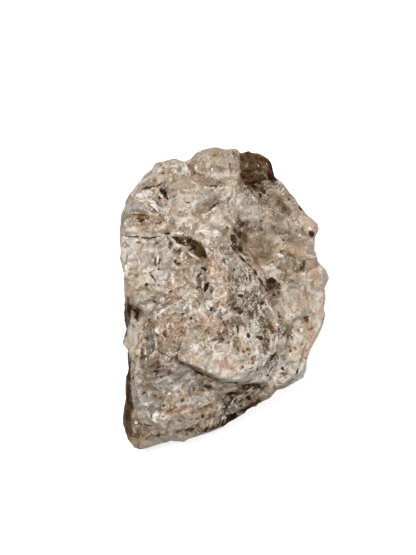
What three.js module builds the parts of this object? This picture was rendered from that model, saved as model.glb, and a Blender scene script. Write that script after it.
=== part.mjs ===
// A palm-sized chunk of coarse crystalline rock, broken out of a larger mass: one solid, lying on its flattest
// cleavage face. All sizes are in millimetres. +X is across the stone, +Y along it, +Z up from the face it lies on.
//
// The stone is the set of points where rock(x, y, z) is below zero. rock() joins three things: a top made of
// broken faces with lumps, pits and ledges on them; a side wall that follows the stone's outline; and the flat
// resting face. The surface is then found along straight lines that leave a thin plate inside the stone, one line
// for each cell of a box-shaped grid, and every corner of the grid is moved to where the faces around it meet, so
// that edges between flat faces stay sharp.

import * as THREE from 'three';
import { mergeVertices } from 'three/addons/utils/BufferGeometryUtils.js';

// ---------------------------------------------------------------- driving dimensions

const STONE_WIDTH = 51.8; // across, +X
const STONE_LENGTH = 74.8; // along, +Y
const PLATE_LEVEL = 9; // height of the thin plate inside the stone that the search lines leave
const PLATE_SHARE = 0.8; // how much of the outline the plate fills
const SEARCH_HEIGHT = 44; // how far up and down the search lines reach
const CELLS_ACROSS = 30; // grid cells across the top
const CELLS_ALONG = 44; // grid cells along the top
const CELLS_UP = 16; // grid cells down the side wall
const EDGE_PULL = 0.1; // how weakly a grid corner holds to its place when it moves to an edge

// The stone's outline seen from above, counter-clockwise from the right-hand end, as [x, y].
const OUTLINE = [
  [25.0, -0.4], [24.8, 2.4], [25.9, 4.9], [25.2, 6.9], [23.0, 9.0], [22.2, 12.0], [22.5, 14.9], [23.7, 17.0],
  [23.2, 18.5], [20.6, 20.4], [16.0, 25.5], [14.2, 28.2], [12.4, 29.7], [11.9, 31.7], [11.0, 34.3], [8.5, 35.6],
  [6.5, 36.2], [4.2, 35.7], [2.8, 36.8], [0.0, 36.6], [-2.2, 36.9], [-4.8, 36.5], [-6.9, 35.8], [-8.5, 34.1],
  [-10.2, 33.5], [-12.3, 34.4], [-14.5, 33.9], [-16.9, 33.0], [-20.0, 30.6], [-21.8, 28.0], [-25.8, 20.9],
  [-25.8, 18.1], [-25.9, 11.8], [-24.8, 5.6], [-24.4, -0.4], [-24.8, -3.4], [-24.4, -7.8], [-25.1, -11.0],
  [-22.8, -13.9], [-22.9, -16.5], [-24.8, -19.5], [-24.6, -24.6], [-25.4, -30.6], [-24.7, -35.8], [-23.0, -38.0],
  [-20.1, -37.8], [-13.5, -35.5], [-9.9, -36.0], [-6.5, -34.6], [1.0, -30.6], [5.9, -27.7], [12.4, -22.4],
  [15.0, -22.7], [19.8, -19.6], [20.4, -17.9], [20.5, -15.4], [21.0, -12.8], [24.6, -6.4], [25.4, -4.0],
  [25.0, -1.9],
];

// ---------------------------------------------------------------- small helpers

const radians = THREE.MathUtils.degToRad;
const smooth = (low, high, value) => THREE.MathUtils.smoothstep(value, low, high);

// The outline's distance from the stone's axis at each direction, straight between the listed points.
const OUTLINE_POLAR = OUTLINE.map(([x, y]) => [Math.atan2(y, x), Math.hypot(x, y)]).sort((a, b) => a[0] - b[0]);
function outlineRadius(turn) {
  const last = OUTLINE_POLAR.length - 1;
  let next = OUTLINE_POLAR.findIndex(([angle]) => angle > turn);
  if (next < 0) next = 0;
  const [angleB, radiusB] = OUTLINE_POLAR[next];
  const [angleA, radiusA] = OUTLINE_POLAR[next === 0 ? last : next - 1];
  const full = 2 * Math.PI;
  const span = (angleB - angleA + full) % full;
  const part = ((turn - angleA + full) % full) / span;
  return radiusA + (radiusB - radiusA) * part;
}

// The outline without its small bumps: its distance averaged over a few directions either side.
const SOFTENING = [-18, -9, 0, 9, 18].map(radians);
function softRadius(turn) {
  const full = 2 * Math.PI;
  const around = SOFTENING.map((step) => ((turn + step + 3 * Math.PI) % full) - Math.PI);
  return around.reduce((sum, direction) => sum + outlineRadius(direction), 0) / SOFTENING.length;
}

// A broken face: height at x, y of the plane through `at` that falls `fall` mm per mm towards `heading` degrees.
function face(x, y, at, heading, fall) {
  const along = (x - at[0]) * Math.cos(radians(heading)) + (y - at[1]) * Math.sin(radians(heading));
  return at[2] - fall * along;
}

// How deep x, y lies inside an ellipse: 1 at its middle, 0 on its rim, below 0 outside.
function insideOval(x, y, [cx, cy], [halfLong, halfShort], turn) {
  const c = Math.cos(radians(turn));
  const s = Math.sin(radians(turn));
  const along = ((x - cx) * c + (y - cy) * s) / halfLong;
  const across = (-(x - cx) * s + (y - cy) * c) / halfShort;
  return 1 - along * along - across * across;
}

// A repeatable number from 0 to 1 for a grid cell of the crystal grains.
function chance(i, j, k, which) {
  const wave = Math.sin(i * 127.1 + j * 311.7 + k * 74.7 + which * 53.3) * 43758.5453;
  return wave - Math.floor(wave);
}

// Crystal grains: space is shared out among grains of about `size` mm, and each grain breaks along its own tilted
// plane. Returns how far that plane stands proud at the point, up to about `size` times `tilt`.
function grains(x, y, z, size, tilt, seed) {
  const cell = [x / size, y / size, z / size];
  const base = cell.map(Math.floor);
  let nearest = Infinity;
  let proud = 0;
  for (let i = base[0] - 1; i <= base[0] + 1; i += 1) {
    for (let j = base[1] - 1; j <= base[1] + 1; j += 1) {
      for (let k = base[2] - 1; k <= base[2] + 1; k += 1) {
        const dx = cell[0] - i - chance(i, j, k, seed);
        const dy = cell[1] - j - chance(i, j, k, seed + 1);
        const dz = cell[2] - k - chance(i, j, k, seed + 2);
        const distance = dx * dx + dy * dy + dz * dz;
        if (distance < nearest) {
          nearest = distance;
          const leanX = chance(i, j, k, seed + 3) - 0.5;
          const leanY = chance(i, j, k, seed + 4) - 0.5;
          const leanZ = chance(i, j, k, seed + 5) - 0.5;
          const level = chance(i, j, k, seed + 6) - 0.5;
          proud = 2 * (dx * leanX + dy * leanY + dz * leanZ) + 0.4 * level;
        }
      }
    }
  }
  return proud * size * tilt;
}

// ---------------------------------------------------------------- the top: broken faces

// The main block, the stone's highest part: a crest with a flank on each side, cut off below by an overhanging lip
// and on the right by the steep step down to the shelf.
function mainBlock(x, y) {
  return Math.min(
    face(x, y, [0, 2, 31.8], 90, 0.36), // back of the crest
    face(x, y, [0, 28, 22.4], 90, 0.8), // top end
    face(x, y, [0, 0, 34], 23.4, 0.753), // right flank
    face(x, y, [0, -6, 31.6], 270, 0.35), // nose
    face(x, y, [0, 0, 35.7], -27, 0.659), // low right flank
    face(x, y, [-2, 18, 26.6], 17.4, 0.838), // shoulder at the top of the step
    face(x, y, [-11, -15.0, 26], 245.4, 6), // lip, left part
    face(x, y, [2.5, -20.3, 26], 274, 6), // lip, right part
    face(x, y, [2, 15.1, 26], 30.7, 3), // step down to the shelf
    face(x, y, [13, -3.4, 25], 0, 2.2), // the same step, lower down
    face(x, y, [8.5, -15.9, 25.5], -44.4, 1.5), // the same step, running under the nose
  );
}

// The right-hand shelf below the block's step.
function shelf(x, y) {
  return Math.min(
    face(x, y, [2, 15, 19.3], 26.6, 0.134), // shelf
    face(x, y, [17, 5, 17.6], 0, 0.32), // its outer rim
    face(x, y, [18, -14, 17.3], -38, 0.36), // its lower right corner
    face(x, y, [4, 23.1, 21.6], 47.7, 0.62), // top right corner
  );
}

// The rounded top end, level with the block's shoulder and falling to the pocket.
function topLobe(x, y) {
  return Math.min(
    face(x, y, [4, 23.1, 21.6], 47.7, 0.62), // top right corner
    face(x, y, [0, 28, 22.4], 90, 0.8), // top end
    face(x, y, [3, 21.5, 21.8], 262, 0.7), // down to the pocket
  );
}

// The slope below the lip, which rises on the left until it meets the block, and is cut away at the lower right by
// two steep faces that leave a dark wedge of underside between them.
function lowerSlope(x, y) {
  const underside = Math.max(
    face(x, y, [8, -21.7, 18.2], 281.6, 1.2),
    face(x, y, [-3.2, -28, 15], -31.4, 1.2),
  );
  const belowLip = face(x, y, [0, 0, 31.7], 266.2, 0.601);
  const lowerLeft = Math.min(
    face(x, y, [-14, -14, 24.8], 262, 0.6), // swell at the left
    face(x, y, [-12, -20, 21.5], -12, 0.8), // its right side
  );
  return Math.min(underside, Math.max(belowLip, lowerLeft));
}

function lowerBody(x, y) {
  return Math.min(lowerSlope(x, y), Math.max(shelf(x, y), topLobe(x, y)));
}

const leftFace = (x, y) => face(x, y, [-25, 0, 21], 185.7, 0.42);

// Lumps and hollows on the faces: [middle, half sizes, turn, height], hollows with a negative height.
const ROUND_RELIEF = [
  [[-7.6, 12.4], [4.6, 1.7], -38, -2.4], // pit under the cream block
  [[-22.6, -4.6], [3.8, 3.0], -20, -3.4], // recess under the left prism
  [[-23.0, -9.9], [2.4, 2.2], 0, 1.3], // rounded lump on the left edge
  [[-5.8, 5.2], [2.2, 0.9], 70, -1.0], // small slot beside the crest
  [[8.8, -9.1], [2.0, 1.2], 40, -0.9], // hole low on the right flank
  [[2.6, -2.0], [1.8, 1.0], 110, -0.8], // hole high on the right flank
  [[-15.1, 26.4], [1.5, 1.1], 60, -1.3], // wedge hole, top left
  [[21.0, 17.2], [2.4, 1.9], 30, 1.1], // knob on the right rim
  [[23.6, 4.6], [3.2, 2.4], 80, 1.3], // second knob on the right rim
  [[15.0, -6.0], [3.6, 2.6], 60, 1.2], // fan of crystals on the shelf
  [[17.6, 8.5], [3.4, 2.2], -50, -1.2], // dip in the shelf
  [[8.2, 31.5], [4.4, 3.6], 20, 0.8], // dark knot at the top right
  [[-12.0, -27.0], [6.5, 4.0], 25, 0.9], // swell low on the left
  [[-21.0, -21.0], [4.0, 6.0], 10, -1.0], // hollow beside the left wall
  [[-11.5, -17.6], [2.6, 1.4], 0, 0.7], // nub under the lip
];

// Flat-topped crystals that stand out of the faces: [middle, half sizes, turn, height, lean along its length]. One
// with a negative height is the flat-bottomed socket of a crystal that has broken out.
const CRYSTALS = [
  [[8.4, 15.2], [5.4, 4.2], 78, -2.4, -0.26], // smooth pocket at the top of the shelf, deepest at its lower edge
  [[-20.4, 22.8], [4.6, 1.7], -6, 1.3, 0.06], // long crystal, top left
  [[-19.6, 2.6], [4.6, 4.0], 24, 2.2, 0.16], // prism on the left edge
  [[-19.0, 16.9], [6.4, 1.1], 2, 1.1, 0.0], // pale ledge above the glassy blocks
  [[-22.6, 10.2], [2.0, 4.6], 4, 1.0, 0.05], // glassy block
  [[-17.4, 11.4], [1.9, 3.4], 8, 1.4, -0.1], // glassy block
  [[-15.8, 5.8], [2.4, 3.0], -10, 0.9, 0.18], // grey glassy facet
  [[-3.4, 16.3], [3.4, 2.2], -30, 1.4, 0.1], // cream block
  [[-3.0, 28.8], [3.0, 1.8], 45, 1.0, 0.05], // smooth tan crystal
  [[0.6, 26.0], [4.2, 1.5], 62, 0.9, 0.0], // cream ridge
  [[4.0, -17.6], [4.6, 1.9], -12, 1.1, 0.0], // cream nose over the lip
  [[-12.6, -12.0], [4.0, 2.4], 35, 1.0, 0.1], // block above the lip
  [[13.4, 22.6], [3.4, 2.0], -48, 1.2, 0.1], // crystal on the top right edge
  [[18.6, -1.0], [2.6, 4.2], 10, 1.3, -0.1], // block on the shelf's rim
  [[16.4, -14.6], [3.0, 4.4], -18, 1.2, 0.12], // block low on the shelf
  [[-18.2, -31.0], [4.4, 2.6], -8, 1.2, 0.08], // corner block, lower left
  [[-6.0, -28.6], [4.6, 2.2], 24, 1.0, 0.1], // bright facet low on the stone
  [[-17.6, -16.4], [3.2, 3.4], 15, 1.2, -0.12], // glassy block, lower left
];

const CRYSTAL_SIDE = 1.6; // how steeply a crystal's sides fall, mm per mm

function topHeight(x, y) {
  let height = Math.min(leftFace(x, y), Math.max(mainBlock(x, y), lowerBody(x, y)));
  for (const [middle, half, turn, rise] of ROUND_RELIEF) {
    height += rise * smooth(0, 0.9, insideOval(x, y, middle, half, turn));
  }
  for (const [middle, half, turn, rise, lean] of CRYSTALS) {
    const c = Math.cos(radians(turn));
    const s = Math.sin(radians(turn));
    const along = (x - middle[0]) * c + (y - middle[1]) * s;
    const across = -(x - middle[0]) * s + (y - middle[1]) * c;
    const toSide = Math.min(half[0] - Math.abs(along), half[1] - Math.abs(across));
    height += Math.sign(rise) * Math.max(0, Math.min(Math.abs(rise) + lean * along, CRYSTAL_SIDE * toSide));
  }
  return height;
}

// ---------------------------------------------------------------- the side wall and the back

// The stone's wall in some directions round it: [direction in degrees, height of its widest level, how far it leans
// in above that level, how far it is undercut below it], both in mm per mm.
const WALL = [
  [-160, 7, 0.3, 0.3], // lower left: widest low down, so the wall shows from above
  [-120, 6, 0.4, 0.5],
  [-95, 7, 0.3, 0.5],
  [-60, 8, 0.25, 0.6], // lower right: the underside runs down to a thin edge
  [-38, 13, 0.3, 0.55],
  [-15, 13, 0.4, 0.5],
  [45, 14, 0.4, 0.45],
  [100, 14.5, 0.35, 0.35],
  [160, 16, 0.25, 0.28], // upper left: widest high up, undercut below
  [178, 14, 0.25, 0.3],
];

function wallAt(turnDegrees) {
  const full = 360;
  let next = WALL.findIndex(([direction]) => direction > turnDegrees);
  if (next < 0) next = 0;
  const b = WALL[next];
  const a = WALL[(next + WALL.length - 1) % WALL.length];
  const span = (b[0] - a[0] + full) % full;
  const part = smooth(0, 1, ((turnDegrees - a[0] + full) % full) / span);
  return [1, 2, 3].map((column) => a[column] + (b[column] - a[column]) * part);
}

// Large breaks on the back: planes that cut the lower edges, as [unit-ish direction out of the stone, distance].
const BACK_BREAKS = [
  [[0.75, 0.1, -0.65], 17.0],
  [[-0.7, 0.45, -0.55], 20.6],
  [[0.2, -0.8, -0.55], 24.4],
  [[-0.6, -0.5, -0.62], 28.5],
  [[0.1, 0.8, -0.6], 24.5],
];

const BUMPS_FADE = [1, 7]; // the outline's small bumps fade out between these distances from the widest level
const RIM_ROUNDING = 1.6; // how far the corner between the top and the wall is rounded off

// Greater of two distances with the corner between them rounded over `radius`.
function roundedMax(a, b, radius) {
  const blend = Math.max(0, radius - Math.abs(a - b)) / radius;
  return Math.max(a, b) - (blend * blend * radius) / 4;
}

const DEEP_GRAIN = 15; // grain sizes: large breaks low on the sides, then the two sizes found all over
const COARSE_GRAIN = 8.5;
const MEDIUM_GRAIN = 4.2;
const DEEP_TILT = 0.12; // how far each size of grain stands proud
const COARSE_TILT = 0.085;
const MEDIUM_TILT = 0.065;
const DEEP_FADE = 5; // the large breaks grow over this far below the wall's widest level
const OUTLINE_SWELL = 0.5; // makes up for what the grains take off the outline

function rock(x, y, z) {
  const turn = Math.atan2(y, x);
  const [widest, leanIn, undercut] = wallAt(THREE.MathUtils.radToDeg(turn));
  const retreat = z > widest ? leanIn * (z - widest) : undercut * (widest - z);
  const plain = smooth(...BUMPS_FADE, Math.abs(z - widest));
  const radius = THREE.MathUtils.lerp(outlineRadius(turn), softRadius(turn), plain);
  const wall = Math.hypot(x, y) - radius - OUTLINE_SWELL + retreat;
  const top = (z - topHeight(x, y)) * 0.75;
  let body = roundedMax(top, wall * 0.9, RIM_ROUNDING);
  for (const [out, distance] of BACK_BREAKS) {
    body = Math.max(body, x * out[0] + y * out[1] + z * out[2] - distance);
  }
  const belowWidest = smooth(0, DEEP_FADE, widest - z);
  body += Math.max(0, grains(x, y, z, DEEP_GRAIN, DEEP_TILT * belowWidest, 40));
  body -= grains(x, y, z, COARSE_GRAIN, COARSE_TILT, 1);
  body -= grains(x, y, z, MEDIUM_GRAIN, MEDIUM_TILT, 20);
  return Math.max(body, -z);
}

// ---------------------------------------------------------------- finding the surface

// A point of the box grid, given by its three counts, as the search line through it: where it leaves the inner
// plate, and where it ends well outside the stone. The plan of the box is bent to the outline.
function searchLine(i, j, k) {
  const a = (2 * i) / CELLS_ACROSS - 1;
  const b = (2 * j) / CELLS_ALONG - 1;
  const c = (2 * k) / CELLS_UP - 1;
  const turn = Math.atan2(b * STONE_LENGTH, a * STONE_WIDTH);
  const reach = Math.max(Math.abs(a), Math.abs(b)) * outlineRadius(turn);
  const plan = new THREE.Vector3(Math.cos(turn) * reach, Math.sin(turn) * reach, 0);
  const start = plan.clone().multiplyScalar(PLATE_SHARE);
  start.z = PLATE_LEVEL + c;
  const end = plan.clone().multiplyScalar(2 - PLATE_SHARE);
  end.z = PLATE_LEVEL + c * SEARCH_HEIGHT;
  return [start, end];
}

const HALVINGS = 26;

// Where the line from `start` to `end` leaves the rock, by halving.
function surfacePoint([start, end]) {
  let inside = 0;
  let outside = 1;
  const point = new THREE.Vector3();
  for (let step = 0; step < HALVINGS; step += 1) {
    const middle = (inside + outside) / 2;
    point.lerpVectors(start, end, middle);
    if (rock(point.x, point.y, point.z) < 0) inside = middle;
    else outside = middle;
  }
  return point;
}

const PROBE = 0.02; // step for measuring which way a face looks

function faceNormal(p) {
  return new THREE.Vector3(
    rock(p.x + PROBE, p.y, p.z) - rock(p.x - PROBE, p.y, p.z),
    rock(p.x, p.y + PROBE, p.z) - rock(p.x, p.y - PROBE, p.z),
    rock(p.x, p.y, p.z + PROBE) - rock(p.x, p.y, p.z - PROBE),
  ).normalize();
}

// The point nearest `home` that lies on all the given planes at once, as nearly as they allow: it adds up the
// planes' squared distances and a weak pull to `home`, and solves for the least.
function meetingPoint(home, planes) {
  const m = [EDGE_PULL, 0, 0, EDGE_PULL, 0, EDGE_PULL]; // xx, xy, xz, yy, yz, zz
  const right = new THREE.Vector3();
  for (const { point, normal: n } of planes) {
    const gap = n.dot(point) - n.dot(home);
    m[0] += n.x * n.x;
    m[1] += n.x * n.y;
    m[2] += n.x * n.z;
    m[3] += n.y * n.y;
    m[4] += n.y * n.z;
    m[5] += n.z * n.z;
    right.addScaledVector(n, gap);
  }
  const matrix = new THREE.Matrix3().set(m[0], m[1], m[2], m[1], m[3], m[4], m[2], m[4], m[5]);
  return right.applyMatrix3(matrix.invert());
}

// The six sides of the box grid: for each, how two counts u, v turn into the three counts of a grid point, and how
// many cells it has each way. Seen from outside, u to v runs counter-clockwise.
const SIDES = [
  { point: (u, v) => [u, v, CELLS_UP], cells: [CELLS_ACROSS, CELLS_ALONG] },
  { point: (u, v) => [v, u, 0], cells: [CELLS_ALONG, CELLS_ACROSS] },
  { point: (u, v) => [u, 0, v], cells: [CELLS_ACROSS, CELLS_UP] },
  { point: (u, v) => [v, CELLS_ALONG, u], cells: [CELLS_UP, CELLS_ACROSS] },
  { point: (u, v) => [0, v, u], cells: [CELLS_UP, CELLS_ALONG] },
  { point: (u, v) => [CELLS_ACROSS, u, v], cells: [CELLS_ALONG, CELLS_UP] },
];

const STRAY_LIMIT = 0.7; // a grid corner moves at most this far to reach an edge

function stoneGeometry() {
  // One plane for each cell, measured at the cell's middle and noted at its four corners.
  const corners = new Map();
  const quads = [];
  for (const { point, cells } of SIDES) {
    for (let u = 0; u < cells[0]; u += 1) {
      for (let v = 0; v < cells[1]; v += 1) {
        const middle = surfacePoint(searchLine(...point(u + 0.5, v + 0.5)));
        const plane = { point: middle, normal: faceNormal(middle) };
        const around = [point(u, v), point(u + 1, v), point(u + 1, v + 1), point(u, v + 1)];
        quads.push(around.map(String));
        for (const counts of around) {
          const key = String(counts);
          if (!corners.has(key)) corners.set(key, { counts, planes: [] });
          corners.get(key).planes.push(plane);
        }
      }
    }
  }

  // Each corner starts on the surface and moves to where the planes around it meet.
  const index = new Map();
  const positions = [];
  for (const [key, { counts, planes }] of corners) {
    const home = surfacePoint(searchLine(...counts));
    const place = home.clone().add(meetingPoint(home, planes).clampLength(0, STRAY_LIMIT));
    place.z = Math.max(0, place.z);
    index.set(key, positions.length / 3);
    positions.push(place.x, place.y, place.z);
  }

  const triangles = [];
  for (const [a, b, c, d] of quads) {
    triangles.push(index.get(a), index.get(b), index.get(c), index.get(a), index.get(c), index.get(d));
  }
  const geometry = new THREE.BufferGeometry();
  geometry.setAttribute('position', new THREE.Float32BufferAttribute(positions, 3));
  geometry.setIndex(triangles);
  return geometry;
}

// ---------------------------------------------------------------- the stone

function stone() {
  const geometry = mergeVertices(stoneGeometry(), 1e-4);
  geometry.computeBoundingBox();
  const { min, max } = geometry.boundingBox;
  geometry.translate(-(min.x + max.x) / 2, -(min.y + max.y) / 2, -min.z);
  const mesh = new THREE.Mesh(geometry, new THREE.MeshStandardMaterial({
    color: 0xa2927e, // pinkish cream-grey feldspar and quartz
    roughness: 0.62,
    metalness: 0,
    flatShading: true,
  }));
  mesh.name = 'stone';
  return mesh;
}

const specimen = new THREE.Group();
specimen.add(stone());

export default specimen;
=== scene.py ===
"""A palm-sized chunk of coarse crystalline rock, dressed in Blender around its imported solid."""
from math import radians

import bpy
import numpy as np
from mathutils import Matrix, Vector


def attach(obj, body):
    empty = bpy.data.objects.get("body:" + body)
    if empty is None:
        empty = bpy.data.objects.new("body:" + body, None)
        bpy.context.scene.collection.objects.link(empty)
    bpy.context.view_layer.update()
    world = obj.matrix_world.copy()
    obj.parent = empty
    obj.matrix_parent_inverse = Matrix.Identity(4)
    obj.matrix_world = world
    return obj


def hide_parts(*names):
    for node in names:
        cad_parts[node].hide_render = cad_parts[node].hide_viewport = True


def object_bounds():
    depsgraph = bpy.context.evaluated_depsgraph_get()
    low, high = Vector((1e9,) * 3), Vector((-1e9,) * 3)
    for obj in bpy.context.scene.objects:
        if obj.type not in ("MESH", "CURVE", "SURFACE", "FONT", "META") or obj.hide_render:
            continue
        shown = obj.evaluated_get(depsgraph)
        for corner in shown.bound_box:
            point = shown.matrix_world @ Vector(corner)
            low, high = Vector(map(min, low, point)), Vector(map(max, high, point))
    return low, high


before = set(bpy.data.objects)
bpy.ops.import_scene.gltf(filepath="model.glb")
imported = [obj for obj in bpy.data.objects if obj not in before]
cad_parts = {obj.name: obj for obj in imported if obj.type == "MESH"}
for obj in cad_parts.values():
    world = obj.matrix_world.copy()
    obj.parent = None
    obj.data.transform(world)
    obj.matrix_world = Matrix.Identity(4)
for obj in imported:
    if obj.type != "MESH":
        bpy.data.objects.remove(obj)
cad_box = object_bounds()

MM = 0.001  # every size of the stone below is in millimetres; the mesh is written in metres


# --------------------------------------------------------------------------------------------------------
# The stone's broken top
# A block of coarse feldspar and quartz, split along a few large faces. The highest part is the main block,
# with a crest and a flank on each side; an overhanging lip ends it below, and a steep step drops to the shelf
# on the right.

def plane(x, y, at, heading, fall):
    """Height at x, y of the plane through `at` that falls `fall` mm per mm towards `heading` degrees."""
    along = (x - at[0]) * np.cos(radians(heading)) + (y - at[1]) * np.sin(radians(heading))
    return at[2] - fall * along


def lowest(x, y, faces):
    """The lowest of several planes at x, y: the top of a block that all of them cut."""
    return np.minimum.reduce([plane(x, y, *face) for face in faces])


TOP_END = ((0, 28, 22.4), 90, 0.8)
TOP_CORNER = ((4, 23.1, 21.6), 47.7, 0.62)
MAIN_BLOCK = [
    ((0, 2, 31.8), 90, 0.36),  # back of the crest
    TOP_END,
    ((0, 0, 34), 23.4, 0.753),  # right flank
    ((0, -6, 31.6), 270, 0.35),  # nose
    ((0, 0, 35.7), -27, 0.659),  # low right flank
    ((-2, 18, 26.6), 17.4, 0.838),  # shoulder at the top of the step
    ((-11, -15.0, 26), 245.4, 6),  # lip, left part
    ((2.5, -20.3, 26), 274, 6),  # lip, right part
    ((2, 15.1, 26), 30.7, 3),  # step down to the shelf
    ((13, -3.4, 25), 0, 2.2),  # the same step, lower down
    ((8.5, -15.9, 25.5), -44.4, 1.5),  # the same step, running under the nose
]
SHELF = [
    ((2, 15, 19.3), 26.6, 0.134),
    ((17, 5, 17.6), 0, 0.32),  # its outer rim
    ((18, -14, 17.3), -38, 0.36),  # its lower right corner
    TOP_CORNER,
]
TOP_LOBE = [TOP_CORNER, TOP_END, ((3, 21.5, 21.8), 262, 0.7)]  # the last one falls to the pocket
UNDERSIDE = [((8, -21.7, 18.2), 281.6, 1.2), ((-3.2, -28, 15), -31.4, 1.2)]  # two faces that meet in a wedge
BELOW_LIP = ((0, 0, 31.7), 266.2, 0.601)
LOWER_LEFT = [((-14, -14, 24.8), 262, 0.6), ((-12, -20, 21.5), -12, 0.8)]  # rises until it meets the block
LEFT_FACE = ((-25, 0, 21), 185.7, 0.42)


def broken_faces(x, y):
    """The lower of the left face's height and the higher of the block's and that of what lies round it."""
    underside = np.maximum(*(plane(x, y, *face) for face in UNDERSIDE))
    slope = np.maximum(plane(x, y, *BELOW_LIP), lowest(x, y, LOWER_LEFT))
    shelf = np.maximum(lowest(x, y, SHELF), lowest(x, y, TOP_LOBE))
    lower = np.minimum.reduce([underside, slope, shelf])
    return np.minimum(plane(x, y, *LEFT_FACE), np.maximum(lowest(x, y, MAIN_BLOCK), lower))


# --------------------------------------------------------------------------------------------------------
# Lumps, hollows and standing crystals
# Rounded lumps and pits where grains have bulged or fallen out, and flat-topped crystals that stand proud of
# the broken faces. Each is added to the height of the face that it sits on.

LUMPS = [  # middle, half sizes, turn in degrees, rise (below zero for a hollow)
    ((-7.6, 12.4), (4.6, 1.7), -38, -2.4),  # pit under the cream block
    ((-22.6, -4.6), (3.8, 3.0), -20, -3.4),  # recess under the left prism
    ((-23.0, -9.9), (2.4, 2.2), 0, 1.3),  # rounded lump on the left edge
    ((-5.8, 5.2), (2.2, 0.9), 70, -1.0),  # small slot beside the crest
    ((8.8, -9.1), (2.0, 1.2), 40, -0.9),  # hole low on the right flank
    ((2.6, -2.0), (1.8, 1.0), 110, -0.8),  # hole high on the right flank
    ((-15.1, 26.4), (1.5, 1.1), 60, -1.3),  # wedge hole, top left
    ((21.0, 17.2), (2.4, 1.9), 30, 1.1),  # knob on the right rim
    ((23.6, 4.6), (3.2, 2.4), 80, 1.3),  # second knob on the right rim
    ((15.0, -6.0), (3.6, 2.6), 60, 1.2),  # fan of crystals on the shelf
    ((17.6, 8.5), (3.4, 2.2), -50, -1.2),  # dip in the shelf
    ((8.2, 31.5), (4.4, 3.6), 20, 0.8),  # dark knot at the top right
    ((-12.0, -27.0), (6.5, 4.0), 25, 0.9),  # swell low on the left
    ((-21.0, -21.0), (4.0, 6.0), 10, -1.0),  # hollow beside the left wall
    ((-11.5, -17.6), (2.6, 1.4), 0, 0.7),  # nub under the lip
]
CRYSTALS = [  # middle, half sizes, turn, rise (below zero for a lost one's socket), lean along its length
    ((8.4, 15.2), (5.4, 4.2), 78, -2.4, -0.26),  # smooth pocket high on the shelf, deepest at its lower edge
    ((-20.4, 22.8), (4.6, 1.7), -6, 1.3, 0.06),  # long crystal, top left
    ((-19.6, 2.6), (4.6, 4.0), 24, 2.2, 0.16),  # prism on the left edge
    ((-19.0, 16.9), (6.4, 1.1), 2, 1.1, 0.0),  # pale ledge above the glassy blocks
    ((-22.6, 10.2), (2.0, 4.6), 4, 1.0, 0.05),  # glassy block
    ((-17.4, 11.4), (1.9, 3.4), 8, 1.4, -0.1),  # glassy block
    ((-15.8, 5.8), (2.4, 3.0), -10, 0.9, 0.18),  # grey glassy facet
    ((-3.4, 16.3), (3.4, 2.2), -30, 1.4, 0.1),  # cream block
    ((-3.0, 28.8), (3.0, 1.8), 45, 1.0, 0.05),  # smooth tan crystal
    ((0.6, 26.0), (4.2, 1.5), 62, 0.9, 0.0),  # cream ridge
    ((1.8, -18.8), (3.4, 1.5), -3, 0.9, 0.0),  # smooth lens over the lip
    ((-12.6, -12.0), (4.0, 2.4), 35, 1.0, 0.1),  # block above the lip
    ((13.4, 22.6), (3.4, 2.0), -48, 1.2, 0.1),  # crystal on the top right edge
    ((18.6, -1.0), (2.6, 4.2), 10, 1.3, -0.1),  # block on the shelf's rim
    ((16.4, -14.6), (3.0, 4.4), -18, 0.6, 0.06),  # block low on the shelf
    ((-18.2, -31.0), (4.4, 2.6), -8, 1.2, 0.08),  # corner block, lower left
    ((-6.0, -28.6), (4.6, 2.2), 24, 1.0, 0.1),  # bright facet low on the stone
    ((-17.6, -16.4), (3.2, 3.4), 15, 1.2, -0.12),  # glassy block, lower left
]
CRYSTAL_SIDE = 1.6  # how steeply a crystal's sides fall, mm per mm


def smooth(low, high, value):
    """0 below `low`, 1 above `high`, and an S-shaped cubic between them."""
    t = np.clip((value - low) / (high - low), 0.0, 1.0)
    return t * t * (3.0 - 2.0 * t)


def turned(x, y, middle, turn):
    """x, y measured from `middle` along and across a direction `turn` degrees from +X."""
    c, s = np.cos(radians(turn)), np.sin(radians(turn))
    return (x - middle[0]) * c + (y - middle[1]) * s, -(x - middle[0]) * s + (y - middle[1]) * c


def inside_oval(x, y, middle, half, turn):
    """One minus the squared distance from an ellipse's middle: 1 there, 0 on its rim, below 0 outside."""
    along, across = turned(x, y, middle, turn)
    return 1.0 - (along / half[0]) ** 2 - (across / half[1]) ** 2


def top_height(x, y):
    """The broken faces with the lumps and crystals added to them."""
    height = broken_faces(x, y)
    for middle, half, turn, rise in LUMPS:
        height += rise * smooth(0.0, 0.9, inside_oval(x, y, middle, half, turn))
    for middle, half, turn, rise, lean in CRYSTALS:
        along, across = turned(x, y, middle, turn)
        to_side = np.minimum(half[0] - np.abs(along), half[1] - np.abs(across))
        flat_top = np.minimum(abs(rise) + lean * along, CRYSTAL_SIDE * to_side)
        height += np.sign(rise) * np.maximum(0.0, flat_top)
    return height


# --------------------------------------------------------------------------------------------------------
# The side wall, the back and the resting face
# The wall follows the stone's outline, widest at a level that changes round it, leaning in above and
# undercut below. Large breaks cut its lower edges, and a flat cleavage face underneath is what the stone
# lies on.

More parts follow.
